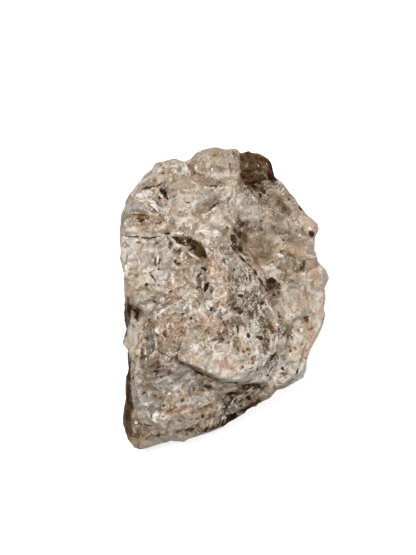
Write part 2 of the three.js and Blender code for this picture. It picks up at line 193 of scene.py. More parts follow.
OUTLINE = [  # x, y of its corners, counter-clockwise
    (25.0, -0.4), (24.8, 2.4), (25.9, 4.9), (25.2, 6.9), (23.0, 9.0), (22.2, 12.0), (22.5, 14.9),
    (23.7, 17.0), (23.2, 18.5), (20.6, 20.4), (16.0, 25.5), (14.2, 28.2), (12.4, 29.7), (11.9, 31.7),
    (11.0, 34.3), (8.5, 35.6), (6.5, 36.2), (4.2, 35.7), (2.8, 36.8), (0.0, 36.6), (-2.2, 36.9),
    (-4.8, 36.5), (-6.9, 35.8), (-8.5, 34.1), (-10.2, 33.5), (-12.3, 34.4), (-14.5, 33.9),
    (-16.9, 33.0), (-20.0, 30.6), (-21.8, 28.0), (-25.8, 20.9), (-25.8, 18.1), (-25.9, 11.8),
    (-24.8, 5.6), (-24.4, -0.4), (-24.8, -3.4), (-24.4, -7.8), (-25.1, -11.0), (-22.8, -13.9),
    (-22.9, -16.5), (-24.8, -19.5), (-24.6, -24.6), (-25.4, -30.6), (-24.7, -35.8), (-23.0, -38.0),
    (-20.1, -37.8), (-13.5, -35.5), (-9.9, -36.0), (-6.5, -34.6), (1.0, -30.6), (5.9, -27.7),
    (12.4, -22.4), (15.0, -22.7), (19.8, -19.6), (20.4, -17.9), (20.5, -15.4), (21.0, -12.8),
    (24.6, -6.4), (25.4, -4.0), (25.0, -1.9),
]
WALL = [  # direction in degrees, height of the widest level, lean above it, undercut below it, in mm per mm
    (-160, 7, 0.3, 0.3),
    (-120, 6, 0.4, 0.5),
    (-95, 7, 0.3, 0.5),
    (-60, 8, 0.25, 0.6),
    (-38, 13, 0.3, 0.55),
    (-15, 13, 0.4, 0.5),
    (45, 14, 0.4, 0.45),
    (100, 14.5, 0.35, 0.35),
    (160, 16, 0.25, 0.28),
    (178, 14, 0.25, 0.3),
]
BACK_BREAKS = [  # direction out of the stone, distance
    ((0.75, 0.1, -0.65), 17.0),
    ((-0.7, 0.45, -0.55), 20.6),
    ((0.2, -0.8, -0.55), 24.4),
    ((-0.6, -0.5, -0.62), 28.5),
    ((0.1, 0.8, -0.6), 24.5),
]
OUTLINE_SWELL = 0.5
ACROSS_SHARE, UPWARD_SHARE = 0.9, 0.75  # true distance to a slope, by the one measured across or upwards
BUMPS_FADE = (1, 7)  # the outline's small bumps fade out between these distances from the widest level
RIM_ROUNDING = 1.6


def outline_radius(angle):
    """The outline's distance from the stone's axis in each direction, straight between its corners."""
    points = np.array(OUTLINE)
    directions = np.arctan2(points[:, 1], points[:, 0])
    order = np.argsort(directions)
    return np.interp(angle, directions[order], np.hypot(*points.T)[order], period=2 * np.pi)


def soft_radius(angle):
    """The outline without its small bumps: its distance averaged over a few directions either side."""
    return np.mean([outline_radius(angle + radians(step)) for step in (-18, -9, 0, 9, 18)], axis=0)


def wall_at(angle):
    """Widest level, lean and undercut of the wall in each direction, eased between the listed ones."""
    rows = np.array(WALL)
    first, last = rows[0, 0], rows[-1, 0]
    degrees = np.degrees(angle)
    steps = np.interp(degrees, rows[:, 0], np.arange(len(rows)))
    past_last = np.where(degrees > last, degrees - last, degrees + 360 - last) / (first + 360 - last)
    steps = np.where((degrees > last) | (degrees < first), len(rows) - 1 + past_last, steps)
    low = np.floor(steps).astype(int)
    part = smooth(0.0, 1.0, steps - low)
    a, b = rows[low % len(rows), 1:], rows[(low + 1) % len(rows), 1:]
    return (a + (b - a) * part[..., None]).T


def rounded_max(a, b, radius):
    """The greater of two distances, with the corner between them rounded over `radius`."""
    blend = np.maximum(0.0, radius - np.abs(a - b)) / radius
    return np.maximum(a, b) - blend * blend * radius / 4


def body(p):
    """Below zero inside the stone, before its grain: top, wall and back joined."""
    x, y, z = p
    angle = np.arctan2(y, x)
    widest, lean, undercut = wall_at(angle)
    retreat = np.where(z > widest, lean * (z - widest), undercut * (widest - z))
    plain = smooth(*BUMPS_FADE, np.abs(z - widest))
    radius = outline_radius(angle) * (1 - plain) + soft_radius(angle) * plain
    wall = np.hypot(x, y) - radius - OUTLINE_SWELL + retreat
    inside = rounded_max((z - top_height(x, y)) * UPWARD_SHARE, wall * ACROSS_SHARE, RIM_ROUNDING)
    for out, distance in BACK_BREAKS:
        inside = np.maximum(inside, x * out[0] + y * out[1] + z * out[2] - distance)
    return np.maximum(inside, -z)


# --------------------------------------------------------------------------------------------------------
# The stone's surface
# Found along straight lines that leave a thin plate inside the stone, one line for each point of a
# box-shaped grid whose plan is bent to the outline. The six sides of the grid are joined at their edges into
# one closed mesh.

ACROSS, ALONG, UP = 144, 208, 50  # grid cells
PLATE_LEVEL, PLATE_SHARE = 9, 0.8  # height of the plate, and its share of the outline
SEARCH_HEIGHT = 44
STONE_WIDTH, STONE_LENGTH = 51.8, 74.8
HALVINGS = 20  # of each line's length, to find where it leaves the stone


def grid_sides():
    """Counts (i, j, k) of the grid points on each side of the box, counter-clockwise seen from outside."""
    def side(u_cells, v_cells, counts):
        """One side's counts, from the two that run along it."""
        u, v = np.meshgrid(np.arange(u_cells + 1), np.arange(v_cells + 1), indexing="ij")
        return np.stack([np.broadcast_to(c, u.shape) for c in counts(u, v)])
    return [
        side(ACROSS, ALONG, lambda u, v: (u, v, UP)),
        side(ALONG, ACROSS, lambda u, v: (v, u, 0)),
        side(ACROSS, UP, lambda u, v: (u, 0, v)),
        side(UP, ACROSS, lambda u, v: (v, ALONG, u)),
        side(UP, ALONG, lambda u, v: (0, v, u)),
        side(ALONG, UP, lambda u, v: (ACROSS, u, v)),
    ]


def grid_mesh():
    """The box grid with its seams joined: its points' counts, and the four corners of each of its faces."""
    sides = grid_sides()
    keys = [c[0] + (ACROSS + 1) * (c[1] + (ALONG + 1) * c[2]) for c in sides]
    all_keys = np.concatenate([k.ravel() for k in keys])
    _, first, index = np.unique(all_keys, return_index=True, return_inverse=True)
    counts = np.concatenate([c.reshape(3, -1) for c in sides], axis=1)[:, first]
    faces, start = [], 0
    for k in keys:
        n = index[start:start + k.size].reshape(k.shape)
        faces.append(np.stack([n[:-1, :-1], n[1:, :-1], n[1:, 1:], n[:-1, 1:]], axis=-1).reshape(-1, 4))
        start += k.size
    return counts, np.concatenate(faces)


def search_lines(counts):
    """Start of each line on the inner plate, and its end well outside the stone."""
    a, b, c = (2 * n / cells - 1 for n, cells in zip(counts, (ACROSS, ALONG, UP)))
    angle = np.arctan2(b * STONE_LENGTH, a * STONE_WIDTH)
    reach = np.maximum(np.abs(a), np.abs(b)) * outline_radius(angle)
    plan = np.stack([np.cos(angle) * reach, np.sin(angle) * reach])
    start = np.concatenate([plan * PLATE_SHARE, [PLATE_LEVEL + c]])
    end = np.concatenate([plan * (2 - PLATE_SHARE), [PLATE_LEVEL + c * SEARCH_HEIGHT]])
    return start, end


counts, faces = grid_mesh()
start, end = search_lines(counts)
inner, outer = np.zeros(counts.shape[1]), np.ones(counts.shape[1])
for _ in range(HALVINGS):
    middle = (inner + outer) / 2
    within = body(start + (end - start) * middle) < 0
    inner, outer = np.where(within, middle, inner), np.where(within, outer, middle)
surface = start + (end - start) * inner


# --------------------------------------------------------------------------------------------------------
# Crystal grains
# The rock is a mosaic of crystals from about 8 mm down to sugar size, and each breaks along its own plane.
# The two largest sizes stand where the solid has them; the finer ones give the faces their steps.

def chance(i, j, k, which):
    """A repeatable number from 0 to 1 for cell i, j, k: the fraction part of a large multiple of a sine."""
    wave = np.sin(i * 127.1 + j * 311.7 + k * 74.7 + which * 53.3) * 43758.5453
    return wave - np.floor(wave)


GRAIN_BORDER = 16  # the higher, the narrower the slope from one grain to the next


def grains(p, size, seed):
    """Shares space among grains of about `size` mm: the nearest of the 27 jittered cell centres around wins.
    Returns how far each point's tilted grain stands proud, in sizes, blended across the borders by weights
    that fall off with the square of the distance; the grain's own number from 0 to 1; and its share."""
    cell = p / size
    base = np.floor(cell)
    nearest = np.full(cell.shape[1], np.inf)
    number = np.zeros(cell.shape[1])
    total, proud, best = 0.0, 0.0, np.zeros(cell.shape[1])
    for step in np.ndindex(3, 3, 3):
        c = base + np.array(step)[:, None] - 1.0
        d = cell - c - np.stack([chance(*c, seed + n) for n in range(3)])
        lean = np.stack([chance(*c, seed + 3 + n) for n in range(3)]) - 0.5
        distance = (d * d).sum(0)
        number = np.where(distance < nearest, chance(*c, seed + 7), number)
        nearest = np.minimum(nearest, distance)
        weight = np.exp(-GRAIN_BORDER * distance)
        total, best = total + weight, np.maximum(best, weight)
        proud = proud + weight * (2 * (d * lean).sum(0) + 0.4 * (chance(*c, seed + 6) - 0.5))
    return proud / total, number, best / total


def blocks(p, size, seed):
    """Intergrown square crystals: how far each point stands proud, in sizes, when every cell holds a
    box-shaped crystal about a jittered middle. It is a constant less the least of the distances to those
    boxes, each the largest of |x|, |y| and |z| from the middle less a size of its own. Then the nearest
    crystal's number from 0 to 1, and 1 for its share."""
    cell = p / size
    base = np.floor(cell)
    nearest = np.full(cell.shape[1], np.inf)
    winner = np.zeros_like(cell)
    for step in np.ndindex(3, 3, 3):
        c = base + np.array(step)[:, None] - 1.0
        d = np.abs(cell - c - np.stack([chance(*c, seed + n) for n in range(3)]))
        distance = d.max(0) - 0.3 * chance(*c, seed + 3)
        closer = distance < nearest
        nearest = np.where(closer, distance, nearest)
        winner = np.where(closer, c, winner)
    return 0.35 - nearest, chance(*winner, seed + 7), 1.0


def cleaved(p, numbers):
    """The points turned into each crystal's own axes, about Z and then X, by angles from its own number."""
    yaw, tilt = numbers * 40.0, np.floor(numbers * 97.0) * 0.7
    x = p[0] * np.cos(yaw) + p[1] * np.sin(yaw)
    y = -p[0] * np.sin(yaw) + p[1] * np.cos(yaw)
    return np.stack([x, y * np.cos(tilt) + p[2] * np.sin(tilt), -y * np.sin(tilt) + p[2] * np.cos(tilt)])


def cloud(p, size, seed):
    """Soft noise from -1 to 1 with lumps of about `size` mm: chance at the corners of a cubic grid, eased
    between them."""
    cell = p / size
    base = np.floor(cell)
    t = smooth(0.0, 1.0, cell - base)
    total = 0.0
    for step in np.ndindex(2, 2, 2):
        weight = np.prod([t[n] if step[n] else 1.0 - t[n] for n in range(3)], axis=0)
        total = total + weight * chance(*(base + np.array(step)[:, None]), seed)
    return 2 * total - 1


def wandered(p, amount, size, seed):
    """The points moved by up to `amount` mm of soft noise, to give what is drawn on them natural edges."""
    return p + amount * np.stack([cloud(p, size, seed + n) for n in range(3)])


def ovals(p, marks):
    """Largest strength at each point of soft-edged ovals listed as middle, half sizes, turn, strength."""
    value = np.zeros(p.shape[1])
    for middle, half, turn, strength in marks:
        value = np.maximum(value, strength * smooth(0.0, 0.7, inside_oval(p[0], p[1], middle, half, turn)))
    return value


SMOOTH_PLACES = [  # faces of single crystals and the rubbed right rim: middle, half sizes, turn, strength
    ((8.6, 14.6), (5.4, 5.0), 70, 0.9),  # pocket
    ((-3.0, 29.6), (3.8, 2.2), 10, 0.8),  # tan crystal
    ((-4.0, 24.6), (3.6, 2.4), 30, 0.85),  # grey crystal below it
    ((-21.6, 22.8), (3.4, 1.7), -8, 0.8),  # long crystal
    ((-22.6, 10.2), (2.2, 5.0), 4, 0.5),
    ((-18.6, 11.0), (3.2, 3.4), 0, 0.6),
    ((-15.2, 7.0), (2.4, 4.4), -6, 0.75),  # grey glassy facet
    ((-20.4, 3.2), (4.6, 3.6), 20, 0.7),  # prism
    ((-8.6, 11.2), (1.8, 1.6), 0, 0.7),
    ((-0.4, -15.8), (6.0, 4.8), -20, 0.85),  # nose
    ((14.2, -6.8), (2.0, 3.0), 20, 0.85),  # fan crystal
    ((-23.0, -9.7), (2.4, 2.6), 0, 0.6),  # lump on the left edge
    ((22.2, 2.0), (4.6, 13.0), 0, 0.85),
    ((17.0, 8.0), (7.4, 9.0), 0, 0.85),  # the shelf, worn by handling
    ((19.0, -5.0), (5.4, 8.0), 0, 0.75),
    ((20.0, 18.0), (5.4, 7.4), 40, 0.8),
    ((12.0, 22.4), (7.6, 5.6), 0, 0.7),
    ((-12.4, 24.0), (5.0, 3.0), 0, 0.3),
    ((-8.6, 19.6), (4.0, 1.2), 4, 0.5),
    ((-19.6, 16.8), (5.0, 1.2), -4, 0.6),
    ((-15.6, -32.4), (8.0, 1.8), 0, 0.6),
    ((-20.6, -35.8), (5.4, 2.2), 0, 0.9),
    ((-12.0, -34.4), (5.0, 1.4), 0, 0.6),
    ((18.4, -16.4), (3.4, 5.0), -20, 0.9),
    ((20.6, -1.0), (4.6, 6.0), 0, 0.6),
    ((17.8, 3.6), (4.0, 3.0), 0, 0.5),
    ((10.5, 8.6), (4.0, 1.6), 6, 0.7),
    ((-4.4, 23.8), (3.8, 2.2), 40, 0.8),
    ((1.8, -18.8), (4.0, 2.0), -3, 1.0),
    ((-23.4, -27.0), (1.8, 6.0), 0, 0.8),
    ((11.8, 8.0), (4.0, 2.4), 10, 0.6),
    ((-4.0, 33.4), (4.6, 3.0), 0, 0.55),
    ((2.4, 32.4), (2.2, 4.2), 0, 0.5),
    ((-22.6, -11.0), (2.2, 3.0), 0, 0.8),
]
DEEP_GRAIN, COARSE_GRAIN, MEDIUM_GRAIN, FINE_GRAIN, SUGAR_GRAIN = 15, 8.5, 4.2, 2.1, 1.0
GRAIN_TILT = {COARSE_GRAIN: 0.085, MEDIUM_GRAIN: 0.065, FINE_GRAIN: 0.3, SUGAR_GRAIN: 0.28}
DEEP_TILT, DEEP_FADE = 0.12, 5
RIM_WEAR = 1.4  # how far in from the rim it is rubbed
MOST_PROUD, LEAST_RISE, PROBE = 1.5, 0.7, 0.05

quiet = ovals(wandered(surface, 0.6, 3.0, 300), SMOOTH_PLACES)
angle = np.arctan2(surface[1], surface[0])
widest = wall_at(angle)[0]
below_widest = smooth(0, DEEP_FADE, widest - surface[2])
proud = -np.maximum(0, grains(surface, DEEP_GRAIN, 40)[0] * DEEP_GRAIN * DEEP_TILT * below_widest)
from_rim = outline_radius(angle) - np.hypot(surface[0], surface[1])
worn = 0.2 + 0.8 * smooth(0.0, RIM_WEAR, from_rim)
own, inside, crest = {}, 1.0, 0.0  # grains' own numbers by size; share of the medium grain; fine relief alone
for size, seed, shape in ((COARSE_GRAIN, 1, grains), (MEDIUM_GRAIN, 20, grains),
                          (FINE_GRAIN, 60, blocks), (SUGAR_GRAIN, 80, blocks)):
    axes = cleaved(surface, own[MEDIUM_GRAIN]) if shape is blocks else surface
    relief, own[size], share = shape(axes, size, seed)
    calm = 1.0 if size == COARSE_GRAIN else 1.0 - quiet
    if shape is blocks:
        calm = calm * worn * smooth(0.5, 0.85, inside)
        crest = crest + (relief - relief.mean()) * calm
    elif size == MEDIUM_GRAIN:
        calm, inside = calm * worn, share
    proud += relief * size * GRAIN_TILT[size] * calm
proud *= smooth(0.0, 1.0, surface[2])  # the resting face is flat

# Each point moves along its own search line, as far as takes it from the plain surface to its grain's plane.
line = end - start
line /= np.linalg.norm(line, axis=0)
rise = (body(surface + line * PROBE) - body(surface - line * PROBE)) / (2 * PROBE)
surface = surface + line * (proud / np.maximum(rise, LEAST_RISE)).clip(-MOST_PROUD, MOST_PROUD)
surface[2] = np.maximum(surface[2], 0.0)

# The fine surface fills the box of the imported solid.
low, high = (np.array(corner)[:, None] / MM for corner in cad_box)
reach = surface.max(1, keepdims=True) - surface.min(1, keepdims=True)
points = low + (surface - surface.min(1, keepdims=True)) * (high - low) / reach


# --------------------------------------------------------------------------------------------------------
# Where each mineral shows
# Pinkish and cream feldspar with grey quartz between, an olive mica-bearing flank, smoky quartz in the
# pocket, garnet and black mica as dark grains, and iron stains. Some kinds also carry painted light and
# shade:
# pale and cream ovals that lift slopes facing away from the lamp, white highlights on ridges, and darker
# marks laid as shade in hollows, under the lip and down the left wall. Each kind is a list of soft ovals with
# ragged edges.

MINERALS = {  # middle, half sizes, turn in degrees, strength
    "pale": [  # frost on freshly split crystals, and painted light lifting slopes that face away from the lamp
        ((-24.6, 13.6), (3.4, 3.6), 0, 0.95), ((-21.0, 11.5), (3.6, 4.2), 0, 0.7),
        ((-17.6, 16.0), (4.4, 1.5), 0, 0.9), ((-17.0, 4.5), (3.6, 3.6), 0, 0.8),
        ((-13.5, 13.2), (3.0, 2.0), 0, 0.3), ((-1.4, 31.2), (3.0, 1.2), 10, 0.6),
        ((0.3, 24.4), (2.2, 3.2), 0, 0.8), ((-0.2, 19.8), (3.2, 3.0), 0, 0.6),
        ((6.2, 20.6), (3.0, 1.6), -10, 0.9), ((4.6, 24.4), (2.2, 2.0), 0, 0.35),
        ((18.4, 19.2), (2.4, 2.0), -20, 0.35), ((11.4, 10.8), (4.4, 0.7), 10, 0.7),
        ((11.6, 16.2), (4.2, 2.2), -20, 0.7), ((-9.8, 24.4), (3.0, 3.0), 20, 0.5),
        ((-9.2, 19.5), (4.0, 1.0), 2, 0.9), ((-11.9, 20.2), (2.2, 0.7), -42, 0.7),
        ((-14.9, 22.4), (2.6, 1.4), -60, 0.6), ((-6.8, 6.8), (1.8, 3.2), -10, 0.9),
        ((-9.8, 2.0), (3.0, 1.6), 20, 0.7), ((0.6, 9.6), (2.0, 3.4), 20, 0.5),
        ((6.8, 3.4), (1.8, 1.6), -50, 0.7), ((2.6, 8.6), (1.6, 3.0), 30, 0.5),
        ((-4.0, 1.2), (1.8, 3.2), 0, 0.6), ((-2.2, -3.2), (4.4, 1.4), 0, 0.6),
        ((13.0, 5.6), (2.2, 2.0), 0, 0.5), ((15.6, 8.0), (1.6, 1.6), 0, 0.4),
        ((21.6, 13.4), (2.6, 1.8), 0, 0.6), ((15.8, -1.2), (2.4, 2.2), 0, 0.7),
        ((18.0, -5.2), (2.6, 2.2), 0, 0.8), ((17.0, -10.0), (2.6, 2.0), 0, 0.9),
        ((11.2, -8.8), (1.4, 2.0), 0, 0.6), ((2.8, -8.0), (2.2, 1.8), 0, 0.6),
        ((-0.6, -12.0), (3.6, 2.8), 30, 0.9), ((-5.6, -13.4), (2.0, 1.8), 40, 0.6),
        ((-2.6, -16.6), (2.0, 2.0), 0, 0.8), ((2.4, -14.8), (2.4, 2.2), 0, 0.6),
        ((-3.4, -14.0), (2.4, 3.0), 0, 0.4), ((-8.8, -18.4), (3.0, 1.8), 0, 0.9),
        ((-5.6, -25.2), (4.8, 1.7), 4, 1.0), ((5.0, -17.4), (3.0, 2.6), 0, 0.7),
        ((0.6, -19.0), (3.0, 1.6), 0, 0.6), ((19.0, -18.4), (4.4, 3.0), 30, 1.0),
        ((13.6, -18.6), (4.4, 2.6), 10, 0.6), ((11.0, -22.6), (2.4, 3.0), 0, 0.8),
        ((3.2, -29.0), (3.0, 1.6), 30, 0.8), ((-16.4, -19.4), (2.0, 1.4), 0, 0.5),
        ((-21.4, -19.4), (1.2, 4.0), 0, 0.8), ((-17.0, -29.2), (3.0, 1.4), 0, 0.5),
        ((-21.2, -27.4), (1.0, 1.8), 0, 0.7), ((-16.4, -32.0), (2.8, 2.0), 0, 0.5),
        ((-20.6, 0.4), (2.2, 1.8), 0, 0.5), ((-22.8, -8.4), (1.6, 3.4), 0, 0.5),
        ((-18.0, 31.6), (3.4, 1.6), -40, 0.4), ((20.5, 3.2), (3.0, 2.4), 0, 0.5),
        ((-18.0, -36.5), (6.0, 1.2), 0, 0.5), ((-9.4, -25.6), (3.0, 1.2), 10, 0.9),
        ((-5.2, -24.2), (3.0, 1.4), 10, 0.9), ((-3.4, -26.0), (2.0, 1.0), 20, 0.7),
        ((2.6, -7.0), (2.4, 1.0), 0, 0.8), ((-2.0, -10.6), (2.6, 1.0), 14, 0.8),
        ((7.8, -5.4), (1.2, 1.2), 0, 0.8), ((0.6, 9.4), (1.8, 2.2), 20, 0.7),
        ((-7.4, 8.0), (1.4, 1.2), 0, 0.8), ((23.4, 1.2), (2.2, 1.4), 0, 0.7),
        ((24.4, 8.4), (1.4, 2.4), 0, 0.7), ((23.8, -6.4), (1.6, 3.0), 0, 0.6),
        ((10.0, 18.6), (2.0, 1.4), 0, 0.9), ((-25.2, 10.4), (1.2, 2.0), 0, 0.8),
        ((-23.4, -6.6), (1.2, 3.0), 0, 0.8), ((-22.8, 1.2), (1.6, 1.0), 0, 0.7),
        ((9.4, -20.2), (4.6, 1.6), 4, 1.0), ((17.6, -18.0), (3.6, 2.6), 30, 1.0),
        ((6.6, -10.0), (1.8, 1.8), 0, 0.9), ((7.4, -12.8), (1.2, 1.6), 0, 1.0),
        ((7.4, -6.8), (1.8, 1.4), 0, 1.0), ((4.6, -7.8), (1.4, 1.6), 0, 0.8),
        ((-1.4, 4.0), (1.6, 1.6), 0, 0.7), ((4.6, 2.8), (1.8, 1.2), 0, 0.6),
        ((3.8, 6.6), (1.8, 1.6), 0, 0.4), ((0.6, 11.8), (1.4, 2.0), 0, 0.5),
        ((-9.6, 2.6), (2.6, 1.4), 30, 0.8), ((-10.6, -3.8), (1.2, 1.6), 0, 0.8),
        ((20.4, -4.2), (2.2, 1.4), 0, 0.9), ((-0.6, 28.4), (2.2, 1.0), 0, 0.8),
        ((9.6, 18.2), (1.8, 1.2), 0, 0.9), ((6.4, 18.8), (1.4, 1.2), 0, 0.8),
        ((-19.8, 29.6), (2.2, 1.2), 40, 0.9), ((15.0, 9.8), (2.2, 1.0), 10, 0.7),
        ((0.4, -2.6), (1.6, 1.4), 0, 0.6), ((-22.4, 7.0), (1.0, 1.2), 0, 0.8),
        ((-20.0, -1.0), (3.0, 1.2), -20, 0.7), ((-12.4, -20.4), (1.8, 1.4), 0, 0.6),
        ((-17.0, -18.4), (2.0, 1.0), 0, 0.6), ((2.4, -28.2), (2.2, 1.4), 20, 0.9),
        ((0.6, -23.0), (1.8, 0.8), 10, 0.6), ((-15.0, 33.0), (4.0, 1.0), 10, 0.6),
        ((8.4, -16.6), (1.8, 1.8), -30, 1.0), ((13.2, -15.2), (2.2, 2.0), 0, 1.0),
        ((18.0, -4.4), (1.6, 1.6), 0, 0.8), ((6.3, 3.9), (1.2, 1.0), 0, 1.0),
        ((-2.6, 4.2), (1.2, 1.0), 0, 0.8), ((-13.2, 15.4), (2.4, 1.2), 0, 0.8),
        ((3.4, 6.4), (1.2, 1.2), 0, 0.6), ((-12.0, -2.8), (1.8, 2.0), 0, 0.6),
        ((-9.0, -32.4), (1.6, 0.8), 10, 0.7), ((-3.0, -21.4), (1.2, 1.0), 0, 0.7),
        ((5.4, -12.8), (1.6, 1.2), 0, 0.6), ((15.6, -19.1), (1.6, 1.2), 0, 0.8),
        ((2.1, -0.9), (1.0, 1.0), 0, 0.6), ((-5.9, -1.1), (1.2, 1.2), 0, 0.6),
        ((15.3, -13.1), (1.0, 1.4), 0, 0.7), ((15.3, -4.1), (1.2, 1.2), 0, 0.6),
        ((-7.4, 4.4), (1.0, 1.2), 0, 0.7), ((-0.6, -12.2), (1.8, 1.2), 0, 1.5),
        ((-8.4, -25.4), (2.6, 1.0), 8, 1.5), ((18.1, -4.4), (1.2, 1.0), 0, 1.3),
        ((-18.2, 14.4), (1.4, 0.8), 0, 1.3), ((15.8, -19.1), (1.2, 1.0), 0, 1.3),
        ((-0.4, -2.1), (1.0, 0.9), 0, 1.2), ((-13.9, 6.1), (0.8, 1.8), 0, 1.3),
        ((-7.7, 7.6), (0.9, 1.0), 0, 1.2), ((11.6, 7.9), (1.8, 0.9), 0, 1.2),
        ((-12.7, 14.1), (1.0, 0.8), 0, 1.2), ((-2.9, -10.1), (1.2, 0.7), 0, 1.2),
        ((-5.7, 22.7), (1.4, 0.8), 30, 0.8), ((17.0, -20.8), (1.6, 0.6), 25, 1.3),
        ((-10.7, -26.1), (1.2, 0.7), 0, 1.2),
    ],
    "pepper": [  # light and dark grit of the right flank
        ((6.6, -0.6), (13.0, 4.4), -62, 1.0), ((7.6, -10.6), (4.4, 4.6), 0, 0.6),
        ((10.2, -15.4), (2.0, 4.6), -30, 0.8), ((2.4, 10.8), (1.6, 5.0), 34, 0.8),
        ((-2.0, 5.6), (2.6, 6.4), 6, 0.45), ((7.4, 27.6), (5.0, 2.4), -10, 0.7),
        ((8.4, 32.2), (4.8, 4.4), 0, 0.6), ((6.8, 15.0), (1.4, 0.6), 0, 0.8),
        ((12.8, 1.8), (2.6, 1.9), -30, 0.9), ((4.4, -25.6), (9.0, 3.2), 24, 0.9),
        ((8.6, -20.4), (5.4, 2.4), 16, 0.7), ((-16.6, 9.4), (1.4, 2.4), 0, 0.7),
        ((-9.0, 2.4), (3.4, 1.8), 0, 0.5), ((-20.4, 20.0), (3.4, 1.2), 0, 0.7),
        ((0.2, 16.0), (2.6, 2.6), 0, 0.4), ((-12.6, -24.4), (5.0, 3.6), 10, 0.4),
        ((13.6, -15.4), (3.4, 4.0), 0, 0.15), ((-23.8, -24.0), (1.8, 8.0), 0, 0.6),
    ],
    "stain_and_shade": [  # thin brown film on weathered crystals, and painted shade along the lip and down the left wall
        ((-6.2, 33.0), (3.8, 2.8), 0, 0.95), ((-11.0, 31.6), (3.8, 2.2), 0, 0.6),
        ((-18.0, 27.0), (4.2, 3.4), 0, 0.55), ((-18.6, 23.2), (3.0, 2.2), 0, 0.4),
        ((-24.0, 19.4), (3.2, 1.8), 0, 0.8), ((5.0, 29.0), (3.0, 3.4), 0, 1.0),
        ((8.2, 26.0), (4.4, 2.8), -20, 1.0), ((12.6, 24.0), (3.2, 2.8), -20, 0.8),
        ((15.6, 27.0), (4.0, 2.6), -45, 0.7), ((9.0, 34.6), (3.6, 2.2), -20, 0.9),
        ((17.6, 17.4), (3.8, 2.6), 0, 0.6), ((-5.6, 21.4), (2.8, 4.2), -40, 0.8),
        ((-9.0, 17.4), (3.6, 2.6), 50, 0.7), ((-4.0, 12.0), (4.2, 3.8), -50, 0.6),
        ((10.5, 10.2), (4.8, 1.9), 0, 0.9), ((6.9, 14.8), (1.8, 2.2), 0, 0.6),
        ((2.8, 14.8), (1.6, 2.0), 0, 0.5), ((-15.5, -2.0), (4.2, 2.2), 30, 0.75),
        ((-7.1, -5.5), (2.8, 2.6), 0, 0.9), ((-2.4, -7.6), (2.4, 1.2), -30, 0.4),
        ((-18.4, -14.0), (3.2, 3.2), 0, 1.0), ((-13.6, -11.4), (6.0, 2.2), 0, 0.6),
        ((-14.2, -15.4), (4.0, 1.6), -20, 0.6), ((-18.0, -9.0), (4.0, 2.4), 0, 0.3),
        ((-24.0, -24.0), (1.6, 8.0), 0, 0.7), ((-22.6, -32.6), (3.4, 4.0), 0, 0.85),
        ((10.4, 2.8), (2.6, 2.2), 0, 0.7), ((-15.4, -24.4), (3.2, 2.4), 0, 0.5),
        ((-11.8, -33.4), (3.2, 1.4), 0, 0.5), ((10.4, -13.0), (3.0, 1.6), 10, 0.5),
        ((-1.4, -29.4), (2.4, 3.0), 0, 0.5), ((22.8, 5.6), (2.6, 1.8), 0, 0.4),
        ((6.4, -1.4), (3.0, 2.0), 0, 0.4), ((4.0, -4.8), (2.4, 1.2), 0, 0.4),
        ((24.2, -2.0), (1.6, 2.0), 0, 0.3), ((-24.0, -1.0), (1.8, 3.0), 0, 0.8),
        ((-12.0, 5.6), (1.6, 3.2), 0, 0.4), ((2.0, 36.0), (4.0, 1.6), 0, 0.3),
        ((-18.0, 24.0), (2.8, 2.0), 0, 0.7), ((-15.0, 28.2), (1.8, 1.6), 0, 0.5),
        ((-5.0, 29.6), (1.6, 2.6), 0, 0.6), ((6.0, 24.6), (3.0, 1.6), 30, 0.5),
        ((13.2, 21.0), (2.0, 1.6), 0, 0.6), ((9.0, 14.8), (5.0, 1.4), 0, 0.6),
        ((3.4, 17.4), (1.4, 4.2), 0, 0.8), ((-2.6, 32.4), (4.6, 1.4), 0, 0.6),
        ((2.8, 35.0), (1.6, 2.2), 0, 0.6), ((13.4, 12.4), (1.6, 3.4), 10, 0.6),
        ((-11.6, 5.4), (1.4, 2.6), 10, 0.6), ((-4.2, 7.4), (1.2, 2.2), 0, 0.5),
        ((6.0, 8.8), (1.4, 2.8), 30, 0.7), ((-9.4, -15.8), (3.0, 0.8), -20, 0.5),
        ((-15.2, -15.8), (1.6, 1.2), 0, 0.6), ((-24.4, -35.0), (1.6, 2.0), 30, 0.9),
        ((-7.2, -20.4), (2.2, 1.0), -20, 0.6), ((-20.4, 11.0), (1.6, 2.6), 30, 0.5),
        ((-23.6, 4.4), (3.0, 1.0), 0, 0.6), ((-1.2, -9.0), (1.2, 1.0), 0, 0.4),
        ((-14.0, -3.6), (5.4, 1.2), 10, 0.6), ((3.2, -4.5), (2.6, 1.2), -10, 0.7),
        ((12.9, -23.4), (2.4, 0.9), 30, 0.5), ((14.0, 5.4), (2.0, 1.4), 0, 0.6),
        ((11.4, -0.4), (1.8, 2.6), -20, 0.7), ((-17.6, -4.2), (2.6, 1.6), 0, 0.5),
        ((-20.0, -13.0), (3.4, 1.4), -20, 0.6), ((-1.6, -15.0), (0.8, 2.4), -10, 0.4),
        ((-18.6, -27.6), (2.0, 2.6), 20, 0.6), ((10.0, -5.6), (1.2, 3.6), 0, 0.8),
        ((9.8, 1.4), (2.2, 1.0), 0, 0.6), ((-15.4, 27.6), (1.8, 2.6), 0, 0.6),
        ((-12.6, 19.4), (1.8, 1.2), 0, 0.5), ((-24.2, 20.2), (1.8, 2.4), 0, 0.5),
        ((3.6, 15.2), (2.2, 1.4), 0, 0.6), ((9.0, 15.6), (5.0, 0.8), 0, 0.5),
        ((5.0, -26.4), (2.0, 1.8), 30, 0.7), ((-20.0, -19.0), (2.6, 1.6), 0, 0.5),
        ((-8.8, -15.8), (2.4, 1.0), -20, 0.5), ((-18.0, -23.6), (3.2, 1.2), 0, 0.4),
        ((0.6, -31.0), (3.6, 1.4), 25, 0.8), ((-4.4, 31.9), (1.8, 1.2), 0, 0.6),
